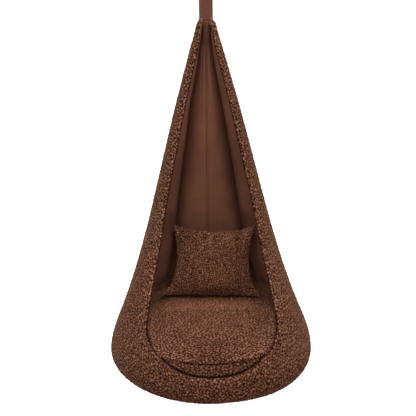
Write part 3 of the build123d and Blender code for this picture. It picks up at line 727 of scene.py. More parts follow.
fold_left = ([0.20, 0.45, 0.55, 0.65, 0.90, 1.15, 1.24, 1.30, 1.35, 1.40, 1.48], [-30, -30, -31, -33, -34.5, -34, -30, -28, -30, -34, -36])
fold_right = ([0.20, 0.45, 0.55, 0.65, 0.90, 1.15, 1.24, 1.30, 1.35, 1.40, 1.48], [34, 33, 32.5, 33, 34, 32, 29.5, 28, 27, 31, 33])
lining_z = np.concatenate([np.linspace(0.105, 1.30, 150, endpoint=False), np.linspace(1.30, 1.474, 40)])
HALF = 66


def spread(a, b, count, gather=0.78):
    t = np.arange(count) / count
    return a + (b - a) * (t - gather * np.sin(2.0 * math.pi * t) / (2.0 * math.pi))


lining_p, lining_seam, lining_fold, lining_painted_light = [], [], [], []
for z in lining_z:
    R = float(lining_radius(z))
    end = math.pi - float(cut_azimuth(max(z, SPLIT + 0.001))) - 0.002 / R
    vl, vr = math.radians(np.interp(z, *fold_left)), math.radians(np.interp(z, *fold_right))
    upper = float(ease(0.95, 1.20, z))
    vl, vr = max(vl - 0.040 - 0.045 * upper, -end + 0.25), min(vr + 0.040, end - 0.25)
    vs = math.radians(-0.8)
    a = np.concatenate([spread(-end, vl, HALF), spread(vl, vs, HALF), spread(vs, vr, HALF), spread(vr, end, HALF), [end]])
    size = np.clip(R / 0.15, 0.18, 1.0)
    depth = float(ease(0.198, 0.250, z)) * size * (0.60 + 0.40 * float(ease(0.48, 0.66, z)))
    d = R * np.minimum(np.abs(a - vl), np.abs(a - vr))
    centre = (a >= vl) & (a <= vr)
    w = np.where(centre, 0.0270, 0.0240) * np.where(a < vs, 1.0 + 0.30 * upper, 1.0) * np.clip(R / 0.15, 0.25, 1.0)
    shoulder = 1.0 - np.exp(-((d / w) ** 1.15))
    mid, half = 0.5 * (vl + vr), 0.5 * (vr - vl)
    chord = np.where(centre, R - R * math.cos(half) / np.cos(np.clip(a - mid, -half, half)), 0.0)
    bulge = np.where(
        centre, 0.054 * depth * shoulder + 0.22 * chord * float(ease(0.15, 0.36, z)),
        0.040 * (1.0 - 0.45 * float(ease(0.66, 0.56, z))) * depth * shoulder * (1.0 - 0.80 * ease(0.050 * size, 0.130 * size, d)),
    )
    # soft play of the cloth, and fine gathers under the top
    bulge = bulge + 0.0016 * depth * np.sin(7.0 * a + 3.1 * z) * shoulder
    gather = float(ease(1.02, 1.34, z)) * (1.0 - 0.6 * float(ease(1.42, 1.474, z)))
    bulge = bulge + gather * size * 0.0075 * (np.sin(23.0 * a + 1.0) * 0.5 + np.sin(41.0 * a + 2.0 * np.sin(5.0 * z)) * 0.5) * shoulder
    tuck = ease(0.0, 0.036 * size, R * (end - np.abs(a)))
    off = R * (a - vs)
    bulge = bulge * tuck
    band = ease(0.0062, 0.0048, np.abs(off))
    line = np.exp(-((off + 0.0048) / 0.0021) ** 2) + 0.75 * np.exp(-((off - 0.0048) / 0.0021) ** 2)
    fade = float(ease(1.46, 1.38, z))
    bulge = bulge + fade * (0.0010 * band - 0.0014 * line)
    rr = R - bulge
    lining_p.append(np.stack([rr * np.sin(a), rr * np.cos(a), np.full(len(a), z)], 1))
    # painted shade along the seam's two grooves
    lining_seam.append(np.clip(line, 0.0, 1.0) * fade)
    # painted shade in the lining's colour: darker towards the bottom, most on the left beside the seat, in the
    # valleys of the folds and over the side strips beside them
    foot = np.where(centre, np.where(a < vs, 0.42, 0.24), np.where(a < vs, 0.10, 0.0)) * float(ease(0.56, 0.24, z))
    foot = foot + 0.085 * float(ease(1.12, 0.92, z)) + np.where(a < vs, 0.42, 0.0) * float(ease(0.285, 0.225, z)) * np.exp(-((d / 0.13) ** 2))
    dark = np.exp(-((d / (0.78 * (1.0 + np.where(centre, 2.4, 0.3) * float(ease(0.60, 0.36, z))) * w)) ** 1.5))
    turned = 0.62 * (1.0 - 0.55 * float(ease(0.60, 0.36, z))) * np.exp(-((d / (0.066 * min(1.0, R / 0.20))) ** 2.4))
    lining_fold.append(foot + (1.0 - foot) * np.where(centre, dark, np.maximum(dark, turned)) * float(ease(0.190, 0.212, z)))
    # painted light: the side strips are lighter low down and away from the folds, the right strip most
    lining_painted_light.append(np.where(centre, 0.0, np.where(a < vs, 0.30, 0.62) * float(ease(0.54, 0.36, z)) * (1.0 - np.exp(-((d / 0.06) ** 2)))))
grid = np.array(lining_p)
rows_n, cols_n = grid.shape[:2]
du = np.gradient(grid, axis=1)
dv = np.gradient(grid, axis=0)
inside = unit(np.cross(du, dv))
inside *= np.sign((inside * np.stack([-grid[..., 0], -grid[..., 1], np.zeros(grid.shape[:2])], -1)).sum(-1, keepdims=True).mean())
cloth = np.concatenate([grid.reshape(-1, 3), (grid - 0.0014 * inside).reshape(-1, 3)])
ids = np.arange(rows_n * cols_n).reshape(rows_n, cols_n)
back_ids = ids + rows_n * cols_n
quads = [
    np.stack([ids[:-1, :-1], ids[:-1, 1:], ids[1:, 1:], ids[1:, :-1]], -1).reshape(-1, 4),
    np.stack([back_ids[:-1, :-1], back_ids[1:, :-1], back_ids[1:, 1:], back_ids[:-1, 1:]], -1).reshape(-1, 4),
]
for e in (0, -1):
    quads.append(np.stack([ids[e, :-1], ids[e, 1:], back_ids[e, 1:], back_ids[e, :-1]], -1))
    quads.append(np.stack([ids[:-1, e], ids[1:, e], back_ids[1:, e], back_ids[:-1, e]], -1))
seam = np.concatenate([np.array(lining_seam).ravel()] * 2)
fold = np.concatenate([np.array(lining_fold).ravel()] * 2)
pale = np.concatenate([np.array(lining_painted_light).ravel()] * 2)
pod_lining = object_from("pod_lining", placed(cloth), np.concatenate(quads), "chair", seam=seam, fold=fold, pale=pale)

# ------------------------------------------------------------------ pod: cloth under the base
under = Build()
ring_ids = [under.add(np.array([[0.0, 0.0, -0.0016]]), np.array([[0.0, 0.0, -1.0]]))]
ring_u = [None]
for r in np.concatenate([np.linspace(0.012, 0.288, 24), [0.292, 0.296, 0.2985, 0.3005, 0.3020, 0.3026, 0.3020, 0.3000, 0.2900]]):
    count = 180
    a = 2.0 * math.pi * np.arange(count) / count
    step = len(ring_ids) - 24
    lift = {1: -0.0002, 2: -0.0010, 3: -0.0018, 4: -0.0016, 5: -0.0006, 6: 0.0008, 7: 0.0022, 8: 0.0026, 9: 0.0026}.get(step)
    if lift is None:
        pull = ease(0.20, 0.285, r)
        lift = -0.0016 * (1.0 - (r / 0.30) ** 2) + 0.0005 * pull * np.sin(36.0 * a + 1.3 * np.sin(3.0 * a))
    p = np.stack([r * np.sin(a), -r * np.cos(a), np.zeros(count) + lift], 1)
    ring_ids.append(under.add(p, np.tile([[0.0, 0.0, -1.0]], (count, 1))))
loop = np.concatenate([np.arange(180), [0]])
under.tri(np.stack([np.full(180, ring_ids[0][0]), ring_ids[1][loop[1:]], ring_ids[1][loop[:-1]]], 1))
for a, b in zip(ring_ids[1:-1], ring_ids[2:]):
    under.tri(np.concatenate([np.stack([a[loop[:-1]], a[loop[1:]], b[loop[1:]]], 1), np.stack([a[loop[:-1]], b[loop[1:]], b[loop[:-1]]], 1)]))
pod_bottom = object_from("pod_bottom", placed(sagged(np.concatenate(under.p))), np.concatenate(under.t), "chair")

# ------------------------------------------------------------------ seat cushion
seat_line = line_through([
    (0.0, 0.2040), (0.06, 0.2038), (0.12, 0.2028), (0.20, 0.2000), (0.27, 0.1962), (0.32, 0.1922),
    (0.345, 0.1892), (0.360, 0.1858), (0.3685, 0.1806), (0.3722, 0.1758), (0.3764, 0.1690), (0.3790, 0.1570),
    (0.3800, 0.1420), (0.3798, 0.1250), (0.3782, 0.1080), (0.3740, 0.0920), (0.3670, 0.0790), (0.3560, 0.0690),
    (0.3400, 0.0612), (0.2600, 0.0606), (0.0, 0.0606),
])
seat_s = lengths(seat_line)
seat_t = unit(np.gradient(seat_line, seat_s, axis=0))
seam_s = float(seat_s[np.argmin(np.hypot(seat_line[:, 0] - 0.3722, seat_line[:, 1] - 0.1758))])
visible_end = float(seat_s[np.argmin(np.hypot(seat_line[:, 0] - 0.3560, seat_line[:, 1] - 0.0690))])
stations = np.concatenate([
    np.arange(STEP, visible_end, STEP), np.linspace(visible_end, seat_s[-1] - 0.02, 14)
])


def lip_at(a):
    """Height of the front rim at an azimuth from the front."""
    a = np.abs((np.asarray(a) + math.pi) % (2.0 * math.pi) - math.pi)
    return np.interp(a, low_azimuth, low_height + 0.0140)


seat = Build()
centre_top = seat.add(np.array([[0.0, 0.0, 0.2040]]), np.array([[0.0, 0.0, 1.0]]))
seat_ids, seat_u, seat_painted_light = [], [], [np.zeros(1)]
for s in stations:
    r, z = float(np.interp(s, seat_s, seat_line[:, 0])), float(np.interp(s, seat_s, seat_line[:, 1]))
    tr, tz = float(np.interp(s, seat_s, seat_t[:, 0])), float(np.interp(s, seat_s, seat_t[:, 1]))
    nr, nz = -tz, tr
    step = STEP if s < visible_end else 0.02
    count = max(6, int(round(2.0 * math.pi * r / step)))
    a = 2.0 * math.pi * np.arange(count) / count + 0.5 * s
    # the seam is pulled in by its thread, with small puckers along it
    pucker = 1.0 + 0.30 * np.sin(58.0 * a + 2.0 * np.sin(7.0 * a)) + 0.15 * np.sin(131.0 * a)
    # the seam is drawn tightest across the front and eases towards the sides
    side = ease(0.22, 0.62, np.abs(np.sin(a)))
    groove = 0.0072 * math.exp(-((s - seam_s) / 0.0050) ** 2) * pucker * (1.0 - 0.62 * side)
    # painted shade: darker along the seam's groove, most across the front, and on the boxing where it drops below the
    # top of the front rim
    tone = (1.0 - 0.55 * (1.0 - 0.85 * side) * math.exp(-((s - seam_s) / 0.0032) ** 2)) * (1.0 - (0.72 - 0.26 * side) * ease(0.0, 1.0, (lip_at(a) - 0.013 - z) / 0.012) * (s > seam_s))
    # painted light and shade: the top is lighter towards its sides and darker towards its front, and the boxing below
    # the seam is darker
    tone = tone * np.where(s < seam_s, 1.012 + 0.40 * (r / 0.37) ** 4 * np.abs(np.sin(a)) - 0.150 * float(ease(0.10, 0.34, r)) * np.clip(np.cos(a), 0.0, 1.0), 0.905)
    # shade of the pillow and the back wall
    tone = tone * (1.0 - 0.15 * ease(0.075, 0.150, -r * np.cos(a)) * (s < seam_s))
    # close shade beside the pillow's two lower corners
    beside = np.exp(-((np.hypot(r * np.sin(a) + 0.212, -r * np.cos(a) - 0.178) / 0.026) ** 2)) + np.exp(-((np.hypot(r * np.sin(a) - 0.226, -r * np.cos(a) - 0.162) / 0.026) ** 2))
    tone = tone * (1.0 - np.where(np.sin(a) > 0.0, 0.24, 0.32) * beside * (s < seam_s))
    swell = 0.0016 * np.sin(3.0 * a + 0.7) * math.exp(-((r - 0.24) / 0.10) ** 2)
    p, n = around(r, z, nr, nz, a)
    p = p - n * groove[:, None] + np.stack([np.zeros(count), np.zeros(count), swell * (1.0 if tz > -0.5 else 0.0)], 1)
    seat_ids.append(seat.add(p, n, 1.0 if s < visible_end else 0.0, tone))
    seat_u.append(np.arange(count + 1) / count)
    x, y = r * np.sin(a), -r * np.cos(a)
    # painted light: the top is lighter near its sides, more on the right, and in a strip just in front of the pillow
    lit = np.where(x > 0.0, 0.34, 0.26) * ease(0.205, 0.290, np.abs(x)) * ease(-0.270, -0.130, y) * ease(0.085, 0.025, y) + 0.27 * ease(0.015, 0.070, y) * ease(0.240, 0.180, np.abs(x))
    seat_painted_light.append(lit * (s < seam_s))
closed = [np.concatenate([i, i[:1]]) for i in seat_ids]
first = closed[0]
seat.tri(np.stack([np.full(len(first) - 1, centre_top[0]), first[:-1], first[1:]], 1))
for k in range(len(closed) - 1):
    seat.zip(closed[k], seat_u[k], closed[k + 1], seat_u[k + 1])
centre_low = seat.add(np.array([[0.0, 0.0, 0.0606]]), np.array([[0.0, 0.0, -1.0]]), 0.0)
seat_painted_light.append(np.zeros(1))
last = closed[-1]
seat.tri(np.stack([np.full(len(last) - 1, centre_low[0]), last[1:], last[:-1]], 1))
seat_cushion = curled_object("seat_cushion", seat, Curls(seat.skin(), SEAT_GAP, 43), 1.04, lambda p: 1.0 + (0.32 * ease(-0.04, -0.26, p[:, 1]) - 0.42 * ease(0.0, 0.09, p[:, 1])) * ease(0.165, 0.180, p[:, 2]), lit=np.concatenate(seat_painted_light))

# ------------------------------------------------------------------ scatter pillow
PX, PZ = 46, 40
gx, gz = np.linspace(-0.5, 0.5, PX + 1), np.linspace(-0.5, 0.5, PZ + 1)
X, Z = np.meshgrid(gx, gz, indexing="ij")
number = np.full((2, PX + 1, PZ + 1), -1)
number[0] = np.arange((PX + 1) * (PZ + 1)).reshape(PX + 1, PZ + 1)
inner_mask = np.zeros((PX + 1, PZ + 1), bool)
inner_mask[1:-1, 1:-1] = True
number[1] = number[0]
number[1][inner_mask] = (PX + 1) * (PZ + 1) + np.arange(inner_mask.sum())
plump = (1.0 - (2.0 * X) ** 4) * (1.0 - (2.0 * Z) ** 4)


def pillow_points(thick):
    front_p = np.stack([X * 0.47, -thick * plump, Z * 0.405], -1)
    back_p = np.stack([X * 0.47, thick * plump, Z * 0.405], -1)
    return np.concatenate([front_p.reshape(-1, 3), back_p[inner_mask]])


faces = []
for side_number, flip in ((number[0], False), (number[1], True)):
    q = np.stack([side_number[:-1, :-1], side_number[1:, :-1], side_number[1:, 1:], side_number[:-1, 1:]], -1).reshape(-1, 4)
    faces.append(q[:, ::-1] if flip else q)
faces = np.concatenate(faces)


def plain_mesh(name, p, faces):
    mesh = bpy.data.meshes.new(name)
    mesh.from_pydata([tuple(float(c) for c in v) for v in p], [], [tuple(int(i) for i in f) for f in faces])
    mesh.update()
    return mesh


def evaluated(o):
    graph = bpy.context.evaluated_depsgraph_get()
    graph.update()
    e = o.evaluated_get(graph)
    m = e.to_mesh()
    co = np.empty(len(m.vertices) * 3, np.float32)
    m.vertices.foreach_get("co", co)
    e.to_mesh_clear()
    return co.reshape(-1, 3).astype(float)


mesh = plain_mesh("pillow_blank", pillow_points(0.040), faces)
blank = bpy.data.objects.new("pillow_blank", mesh)
bpy.context.scene.collection.objects.link(blank)
cloth_mod = blank.modifiers.new("Cloth", "CLOTH")
st = cloth_mod.settings
st.quality = 7
st.mass = 0.25
st.tension_stiffness, st.compression_stiffness = 15.0, 4.0
st.shear_stiffness = 2.0
st.bending_stiffness = 20.0
st.tension_damping = st.compression_damping = 18.0
st.use_pressure = True
st.uniform_pressure_force = 4.0
st.effector_weights.gravity = 0.0
cloth_mod.collision_settings.use_collision = False
cloth_mod.point_cache.frame_start, cloth_mod.point_cache.frame_end = 1, 40
for f in range(1, 41):
    bpy.context.scene.frame_set(f)
body_p = evaluated(blank)
bpy.data.objects.remove(blank)
bpy.data.meshes.remove(mesh)
bpy.context.scene.frame_set(1)

# corners where they sit on the seat and against the back
n00, n10, n01, n11 = number[0][0, 0], number[0][-1, 0], number[0][0, -1], number[0][-1, -1]
span_x = 0.5 * (body_p[n10, 0] - body_p[n00, 0] + body_p[n11, 0] - body_p[n01, 0])
span_z = 0.5 * (body_p[n01, 2] - body_p[n00, 2] + body_p[n11, 2] - body_p[n10, 2])
thick = body_p[:, 1].max() - body_p[:, 1].min()
body_p = body_p - 0.25 * (body_p[n00] + body_p[n10] + body_p[n01] + body_p[n11])
gu, gv = (np.concatenate([v.ravel(), v[inner_mask]]) for v in (2.0 * X, Z + 0.5))
u, v = 2.0 * body_p[:, 0] / span_x, body_p[:, 2] / span_z + 0.5
# the lower edge lies flat on the seat, and the sides are drawn in between their corners
lower = np.interp(gu, 2.0 * gx, v[number[0][:, 0]])
v = v - (lower + 0.010 * (1.0 - gu**2)) * (1.0 - gv) ** 1.6 - 0.022 * (1.0 - gu**2) * gv**4
u = u - np.where(gu < 0.0, -0.135, 0.112) * np.abs(gu) ** 2 * np.sin(math.pi * np.clip(gv, 0.0, 1.0) ** 0.85)
point = (np.abs(gu) * np.abs(2.0 * gv - 1.0)) ** 6
u, v = u + np.where(gv > 0.5, 0.060, 0.080) * point * np.sign(gu), v + np.where(gv > 0.5, 0.046, -0.012) * point
low_l, low_r = np.array([-0.2080, 0.156, 0.2258]), np.array([0.2205, 0.138, 0.2172])
top_l, top_r = np.array([-0.1545, 0.186, 0.5525]), np.array([0.1990, 0.124, 0.5650])
low = 0.5 * (low_l + low_r) + 0.5 * u[:, None] * (low_r - low_l)
top = 0.5 * (top_l + top_r) + 0.5 * u[:, None] * (top_r - top_l)
facing = unit(np.cross(top_l + top_r - low_l - low_r, low_r - low_l))
facing = facing * np.sign(facing[1])
# the seam allowance inside keeps the corners a little full
full = 0.0065 * np.concatenate([-np.ones(X.size), np.ones(int(inner_mask.sum()))])
full = full * np.clip(np.minimum(1.0 - np.abs(gu), 1.0 - np.abs(2.0 * gv - 1.0)) / 0.10, 0.0, 1.0) * (np.abs(gu) * np.abs(2.0 * gv - 1.0)) ** 3
body_p = low + v[:, None] * (top - low) + ((0.116 / thick) * body_p[:, 1:2] + full[:, None]) * facing
body_p[:, 2] = np.maximum(body_p[:, 2], 0.2085)

mesh = plain_mesh("pillow_form", body_p, faces)
form = bpy.data.objects.new("pillow_form", mesh)
bpy.context.scene.collection.objects.link(form)
sub = form.modifiers.new("Subdivision", "SUBSURF")
sub.levels = sub.render_levels = 2
graph = bpy.context.evaluated_depsgraph_get()
smooth = bpy.data.meshes.new_from_object(form.evaluated_get(graph))
bpy.data.objects.remove(form)
co = np.empty(len(smooth.vertices) * 3, np.float32)
no = np.empty(len(smooth.vertices) * 3, np.float32)
smooth.vertices.foreach_get("co", co)
smooth.vertices.foreach_get("normal", no)
co, no = co.reshape(-1, 3).astype(float), no.reshape(-1, 3).astype(float)
loops = np.empty(len(smooth.loops), np.int32)
smooth.loops.foreach_get("vertex_index", loops)
pillow_faces = loops.reshape(-1, 4)
h, own = Curls(co, PILLOW_GAP, 47).height(co)
p = co + no * ((h - CURL_LEVEL) * CURL_HEIGHT * 0.80)[:, None]
corner = ease(0.50, 0.92, np.abs(co[:, 0] - 0.009) / 0.205)
# painted shade: the lower part is a little darker away from the corners, and the strip along the underside where it
# sits on the seat is much darker, less so at the corners
h = h * (1.0 - 0.15 * (1.0 - corner) * ease(0.36, 0.24, co[:, 2])) * (1.0 - (0.65 - 0.50 * corner) * ease(0.2185, 0.2105, co[:, 2]))
# painted light on the sides that face left and right
h = 0.985 * h * (1.0 + 0.16 * np.clip((np.abs(no[:, 0]) - 0.20) / 0.70, 0.0, 1.0))
# painted light on the corners, most at the top right, less at the top left and the lower corners
h = h * (1.0 + np.where(co[:, 0] > 0.0, 0.30, 0.10) * corner * ease(0.44, 0.54, co[:, 2]) + 0.10 * corner * ease(0.30, 0.23, co[:, 2]))
scatter_pillow = object_from("scatter_pillow", placed(p), pillow_faces, "pillow", curl=h, tuft=own)

# ------------------------------------------------------------------ strap
WIDE, THICK = 0.0265, 0.0045
STITCH = WIDE - 0.0064
turns = 2.0 * math.pi * np.arange(168) / 168
cx = np.sign(np.cos(turns)) * np.abs(np.cos(turns)) ** 0.55 * WIDE
cy = np.sign(np.sin(turns)) * np.abs(np.sin(turns)) ** 0.62 * THICK
pull = np.exp(-((np.abs(cx) - STITCH) / 0.0014) ** 2)
cy = cy - np.sign(cy) * 0.0014 * pull * (np.abs(cy) > 0.002)
levels = np.concatenate([
    [-0.5150, -0.5147, -0.5120], np.linspace(-0.5080, -0.4330, 22),
    [-0.4300, -0.4270, -0.4245, -0.4220, -0.4190, -0.4160, -0.4135],
    [-0.4120, -0.4118, -0.4110, -0.4098, -0.4084, -0.4074, -0.4066, -0.4058],
    np.linspace(-0.4046, -0.3200, 60), [-0.3188, -0.3176, -0.3160, -0.3146, -0.3136, -0.3130, -0.3127],
])
hem = 0.0009 * np.exp(-((levels + 0.4095) / 0.0016) ** 2) + 0.0007 * np.exp(-((levels + 0.3150) / 0.0016) ** 2)
hem -= 0.0008 * np.exp(-((levels + 0.4062) / 0.0009) ** 2) + 0.0008 * np.exp(-((levels + 0.3190) / 0.0009) ** 2)
hem[[0, -1]] -= 0.0016
ribbon, strap_shade, strap_light = [], [], []


def strap_swell(z):
    return (1.0 + 0.85 * float(ease(0.395, 0.411, -z))) * (1.0 - 0.70 * float(ease(0.427, 0.505, -z)))


for z, extra in zip(levels, hem):
    ripple = 0.00025 * np.sin(2.0 * math.pi * z / 0.0055) * pull
    # below its hem the strap is drawn narrower, and it thickens round the bar at the top of the pod
    tail = float(ease(0.4115, 0.4250, -z))
    narrow = 1.0 - 0.20 * tail - 0.26 * float(ease(0.4235, 0.4460, -z))
    grow = extra / THICK + strap_swell(z)
    # and its end runs back into the gathered lining
    back = 0.0310 * float(np.clip((-z - 0.4240) / 0.0910, 0.0, 1.0)) ** 1.12
    gathers = 0.0011 * tail * np.sin(cx * 900.0 + 0.6) + 0.0006 * tail * np.sin(cx * 1700.0)
    ribbon.append(np.stack([cx * narrow, cy * grow + np.sign(cy) * (ripple + gathers) + back, np.full(168, z)], 1))
    # painted shade over the edges beyond the stitching, in the crease at the hem and in the gathers of the tail;
    # painted highlights beside the stitching and on the hem's bulge, and the tail drawn lighter towards its lower end
    above = float(ease(0.4120, 0.4085, -z))
    margin = 0.55 * ease(STITCH + 0.0008, STITCH + 0.0028, np.abs(cx)) * above
    crease = 0.95 * math.exp(-((z + 0.4050) / 0.0026) ** 2) * ease(0.0210, 0.0150, np.abs(cx))
    strap_shade.append(np.clip(margin + crease + 0.16 * tail * (1.0 + np.sin(cx * 1150.0 + 0.6)), 0.0, 1.0))
    strap_light.append(np.clip(0.70 * np.exp(-((np.abs(cx) - STITCH + 0.0006) / 0.0020) ** 2) * above + 0.45 * math.exp(-((z + 0.4098) / 0.0018) ** 2) + 0.62 * tail * ease(0.424, 0.450, -z), 0.0, 1.0))
ribbon = np.array(ribbon)
rid = np.arange(ribbon.shape[0] * 168).reshape(-1, 168)
rid = np.concatenate([rid, rid[:, :1]], 1)
quads = np.stack([rid[:-1, :-1], rid[:-1, 1:], rid[1:, 1:], rid[1:, :-1]], -1).reshape(-1, 4)
half_ring = np.arange(83)
caps = []
for e in (0, -1):
    ringid = rid[e, :-1]
    caps.append(np.stack([ringid[(half_ring + 1) % 168], ringid[(half_ring) % 168], ringid[(167 - half_ring) % 168], ringid[(166 - half_ring) % 168]], 1))
strap_cover = object_from("strap_cover", ribbon.reshape(-1, 3), np.concatenate([quads] + caps), "chair", seam=np.concatenate(strap_shade), pale=np.concatenate(strap_light))


def threads(name, places, body):
    """Short stitches of thread: places is [(centre, direction, outward)]."""
    mesh = bpy.data.meshes.new(name)
    b = bmesh.new()
    for c, d, out in places:
        c, d, out = Vector(c), Vector(d).normalized(), Vector(out).normalized()
        across = d.cross(out)
        ringlets = []
        for t, w in ((-1.0, 0.30), (-0.8, 0.75), (-0.3, 1.0), (0.3, 1.0), (0.8, 0.75), (1.0, 0.30)):
            arch = 0.00030 * (1.0 - t * t) - 0.00015
            mid = c + d * (t * 0.0020) + out * arch
            ringlets.append([
                b.verts.new(mid + (across * math.cos(q) + out * math.sin(q)) * 0.00048 * w)
                for q in [2.0 * math.pi * m / 8 for m in range(8)]
            ])
        for one, two in zip(ringlets[:-1], ringlets[1:]):
            for m in range(8):
                b.faces.new((one[m], one[(m + 1) % 8], two[(m + 1) % 8], two[m]))
        b.faces.new(ringlets[0][::-1])
        b.faces.new(ringlets[-1])
    bmesh.ops.recalc_face_normals(b, faces=b.faces)
    b.to_mesh(mesh)
    b.free()
    for f in mesh.polygons:
        f.use_smooth = True
    o = bpy.data.objects.new(name, mesh)
    bpy.context.scene.collection.objects.link(o)
    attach(o, body)
    return o


stitches = []
depth = float(np.interp(STITCH, np.sort(cx[:42]), cy[:42][np.argsort(cx[:42])]))
for sx in (-1, 1):
    for sy in (-1, 1):
        for z in np.arange(-0.4030, -0.3200, 0.0052):
            stitches.append(((sx * STITCH, sy * (depth * strap_swell(z) + 0.0001), z), (0, 0, 1), (0, sy, 0)))
for sy in (-1, 1):
    for z in (-0.4098, -0.3190):
        for x in np.arange(-0.0156, 0.0160, 0.0052):
            stitches.append(((x, sy * (THICK * strap_swell(z) - 0.0006), z), (1, 0, 0), (0, sy, 0)))
strap_stitching = threads("strap_stitching", stitches, "chair")

# webbing inside the sleeve, looped over the ring's bar and round the bar at the top of the pod
RING_BAR, APEX = -0.282, BAR_H - DROP
loop_pts = []
for t in np.linspace(0.0, math.pi, 22):
    loop_pts.append((-0.0060 * math.cos(t), RING_BAR + 0.0060 * math.sin(t)))
for z in np.linspace(RING_BAR - 0.004, RING_BAR - 0.029, 8):
    f = (RING_BAR - z) / 0.030
    loop_pts.append((0.0060 + (0.0014 - 0.0060) * float(ease(0.0, 1.0, f)), z))
for z in np.linspace(RING_BAR - 0.033, APEX + 0.020, 18):
    loop_pts.append((0.0014, z))
for z in np.linspace(APEX + 0.017, APEX + 0.002, 6):
    f = (APEX + 0.020 - z) / 0.020
    loop_pts.append((0.0014 + (0.0055 - 0.0014) * float(ease(0.0, 1.0, f)), z))
for t in np.linspace(0.0, math.pi, 16):
    loop_pts.append((0.0055 * math.cos(t), APEX - 0.0055 * math.sin(t)))
down = [q for q in loop_pts[22:] if q[1] > APEX + 0.001]
loop_pts += [(-y, z) for y, z in down[::-1]]
loop_pts = np.array(loop_pts)
tangent = unit(np.roll(loop_pts, -1, 0) - np.roll(loop_pts, 1, 0))
outward = np.stack([tangent[:, 1], -tangent[:, 0]], 1)
if (outward[5] * np.array([0.0, 1.0])).sum() < 0:
    outward = -outward
xs = np.linspace(-1.0, 1.0, 41)  # 44 mm wide
thin = 0.00115 * np.sqrt(np.clip(1.0 - np.abs(xs) ** 14, 0.12, 1.0))
thin = thin * (1.0 + 0.06 * np.cos(xs * math.pi * 13.0))
prof = [(x * 0.022, t) for x, t in zip(xs, thin)] + [(x * 0.022, -t) for x, t in zip(xs[::-1], thin[::-1])]
web = np.array([[(x, y + o[0] * t, z + o[1] * t) for x, t in prof] for (y, z), o in zip(loop_pts, outward)])
wid = np.arange(web.shape[0] * web.shape[1]).reshape(web.shape[:2])
wid = np.concatenate([wid, wid[:1]], 0)
wid = np.concatenate([wid, wid[:, :1]], 1)
quads = np.stack([wid[:-1, :-1], wid[:-1, 1:], wid[1:, 1:], wid[1:, :-1]], -1).reshape(-1, 4)
strap_webbing = object_from("strap_webbing", web.reshape(-1, 3), quads, "chair")

# ------------------------------------------------------------------ what stands for what
for o in (pod_base, sides["pod_left"], sides["pod_right"], pod_edge, seat_cushion, scatter_pillow):
    o.data.materials.append(BOUCLE)
pod_lining.data.materials.append(LINING)
pod_bottom.data.materials.append(UNDERCLOTH)
strap_cover.data.materials.append(SLEEVE)
strap_stitching.data.materials.append(THREAD)
strap_webbing.data.materials.append(WEBBING)

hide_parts("left_cover", "left_padding")
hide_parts("right_cover", "right_padding")
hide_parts("base_cover", "rim_bolster", "load_straps")
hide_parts("opening_binding")
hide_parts("lining")
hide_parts("bottom_cover")
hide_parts("seat_cushion_cover", "seat_cushion_foam")
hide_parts("pillow_cover", "pillow_fill")
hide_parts("strap_sleeve")
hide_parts("hanging_strap")

NODE_MATERIAL = {
    "ceiling_plate": "black_steel", "clevis_pin": "zinc_steel", "pin_clip": "spring_steel", "hanger_link": "black_steel",
    "link_bush": "bronze", "bearing_lower_race": "bearing_steel", "bearing_balls": "bearing_steel",
    "bearing_upper_race": "bearing_steel", "swivel_nut": "zinc_steel", "swivel_eye": "zinc_steel",
    "carabiner_body": "zinc_steel", "carabiner_gate": "zinc_steel", "gate_pin": "spring_steel",
    "triangle_ring": "zinc_steel", "apex_cup": "black_steel", "apex_bar": "zinc_steel", "base_hoop": "black_steel",
    "hoop_saddles": "zinc_steel", "saddle_screws": "zinc_steel",
}
for name, slot in NODE_MATERIAL.items():
    nodes[name].data.materials.clear()
    nodes[name].data.materials.append(METALS[slot])
for name, mat in (("base_deck", PLYWOOD),):
    nodes[name].data.materials.clear()
    nodes[name].data.materials.append(mat)

# ------------------------------------------------------------------ floor, light and camera
scene = bpy.context.scene
floor_mesh = bpy.data.meshes.new("floor")
b = bmesh.new()
bmesh.ops.create_grid(b, x_segments=2, y_segments=2, size=60.0)
b.to_mesh(floor_mesh)
b.free()
floor = bpy.data.objects.new("floor", floor_mesh)
floor.location = (0.0, 0.0, float(cad_box[0][2]) - 0.42)
scene.collection.objects.link(floor)
mat, tree, shade = shader("floor")
pale = ramp(tree, noise(tree, coords(tree), 3.0, 3.0), [(0.3, grey(0.90)), (0.7, grey(0.92))])
shade.inputs["Roughness"].default_value = 0.9
shade.inputs["Specular IOR Level"].default_value = 0.1
shade.inputs["Emission Color"].default_value = (1.0, 1.0, 1.0, 1.0)
away = add(tree, "ShaderNodeSeparateXYZ")
tree.links.new(coords(tree), away.inputs["Vector"])
lit = add(tree, "ShaderNodeMapRange", interpolation_type="SMOOTHSTEP")
for key, value in (("From Min", -0.55), ("From Max", 0.15), ("To Min", 0.0), ("To Max", 0.85)):
    lit.inputs[key].default_value = value
tree.links.new(away.outputs["Y"], lit.inputs["Value"])
tree.links.new(lit.outputs["Result"], shade.inputs["Emission Strength"])
pale = mixed(tree, pale, ramp(tree, lit.outputs["Result"], [(0.0, grey(0.62)), (0.6, grey(1.0))]), 1.0)
tree.links.new(pale, shade.inputs["Base Color"])
floor_mesh.materials.append(mat)

world = bpy.data.worlds.new("studio")
scene.world = world
world.use_nodes = True
sky = world.node_tree.nodes["Background"]
look = add(world.node_tree, "ShaderNodeSeparateXYZ")
world.node_tree.links.new(add(world.node_tree, "ShaderNodeTexCoord").outputs["Generated"], look.inputs["Vector"])
dome = ramp(world.node_tree, look.outputs["Z"], [(0.0, grey(0.55)), (0.75, grey(1.0))])
world.node_tree.links.new(dome, sky.inputs["Color"])
sky.inputs["Strength"].default_value = 0.46


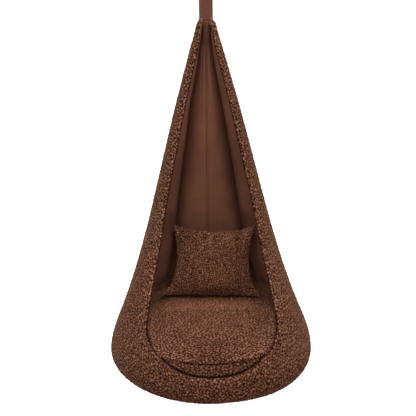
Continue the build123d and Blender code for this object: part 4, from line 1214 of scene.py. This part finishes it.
def panel(name, at, target, size, power, spread=180.0):
    light = bpy.data.lights.new(name, "AREA")
    light.shape = "DISK"
    light.spread = math.radians(spread)
    light.size = size
    light.energy = power
    o = bpy.data.objects.new(name, light)
    o.location = at
    o.rotation_euler = (Vector(target) - Vector(at)).to_track_quat("-Z", "Y").to_euler()
    scene.collection.objects.link(o)
    return o


panel("key", (0.10, -2.3, 2.4), (0.0, 0.0, -1.4), 2.2, 172.0)
panel("fill", (-1.7, -2.9, 1.3), (0.0, 0.0, -1.5), 2.0, 58.0)
panel("fill_right", (1.7, -2.9, 1.2), (0.0, 0.0, -1.5), 2.0, 52.0)
panel("side_left", (-3.2, -1.7, 0.2), (0.0, 0.0, -1.2), 2.0, 14.0)
panel("side_right", (3.2, -1.7, 0.2), (0.0, 0.0, -1.2), 2.0, 19.0)
panel("inside", (0.0, -3.0, 0.55), (0.0, 0.00, -1.68), 0.5, 1.05, 16.0)

# the camera, from the height and distance that the picture gives
PITCH, AZIMUTH, LEVEL = math.radians(20.21), math.radians(-1.27), math.radians(-0.88)
eye = np.array([0.0, -2.900, 1.7746])
ahead = np.array([0.0, math.cos(PITCH), -math.sin(PITCH)])
spin = np.array([[math.cos(AZIMUTH), math.sin(AZIMUTH), 0.0], [-math.sin(AZIMUTH), math.cos(AZIMUTH), 0.0], [0.0, 0.0, 1.0]])
eye, ahead = eye @ spin, ahead @ spin
eye, ahead = placed(eye), ahead @ POD
right = unit(np.cross(ahead, UP))
over = np.cross(right, ahead)
right, over = right * math.cos(LEVEL) + over * math.sin(LEVEL), over * math.cos(LEVEL) - right * math.sin(LEVEL)
camera_data = bpy.data.cameras.new("camera")
camera_data.sensor_width = 36.0
camera_data.sensor_fit = "HORIZONTAL"
camera_data.lens = 36.0 * 730.67 / 416.0
camera_data.clip_start, camera_data.clip_end = 0.05, 200.0
camera_data.shift_x = -0.93 / 416.0
camera = bpy.data.objects.new("camera", camera_data)
m = Matrix.Identity(4)
for row in range(3):
    m[row][0], m[row][1], m[row][2], m[row][3] = right[row], over[row], -ahead[row], eye[row]
camera.matrix_world = m
scene.collection.objects.link(camera)
scene.camera = camera
scene.view_settings.view_transform = "Standard"
scene.view_settings.look = "None"
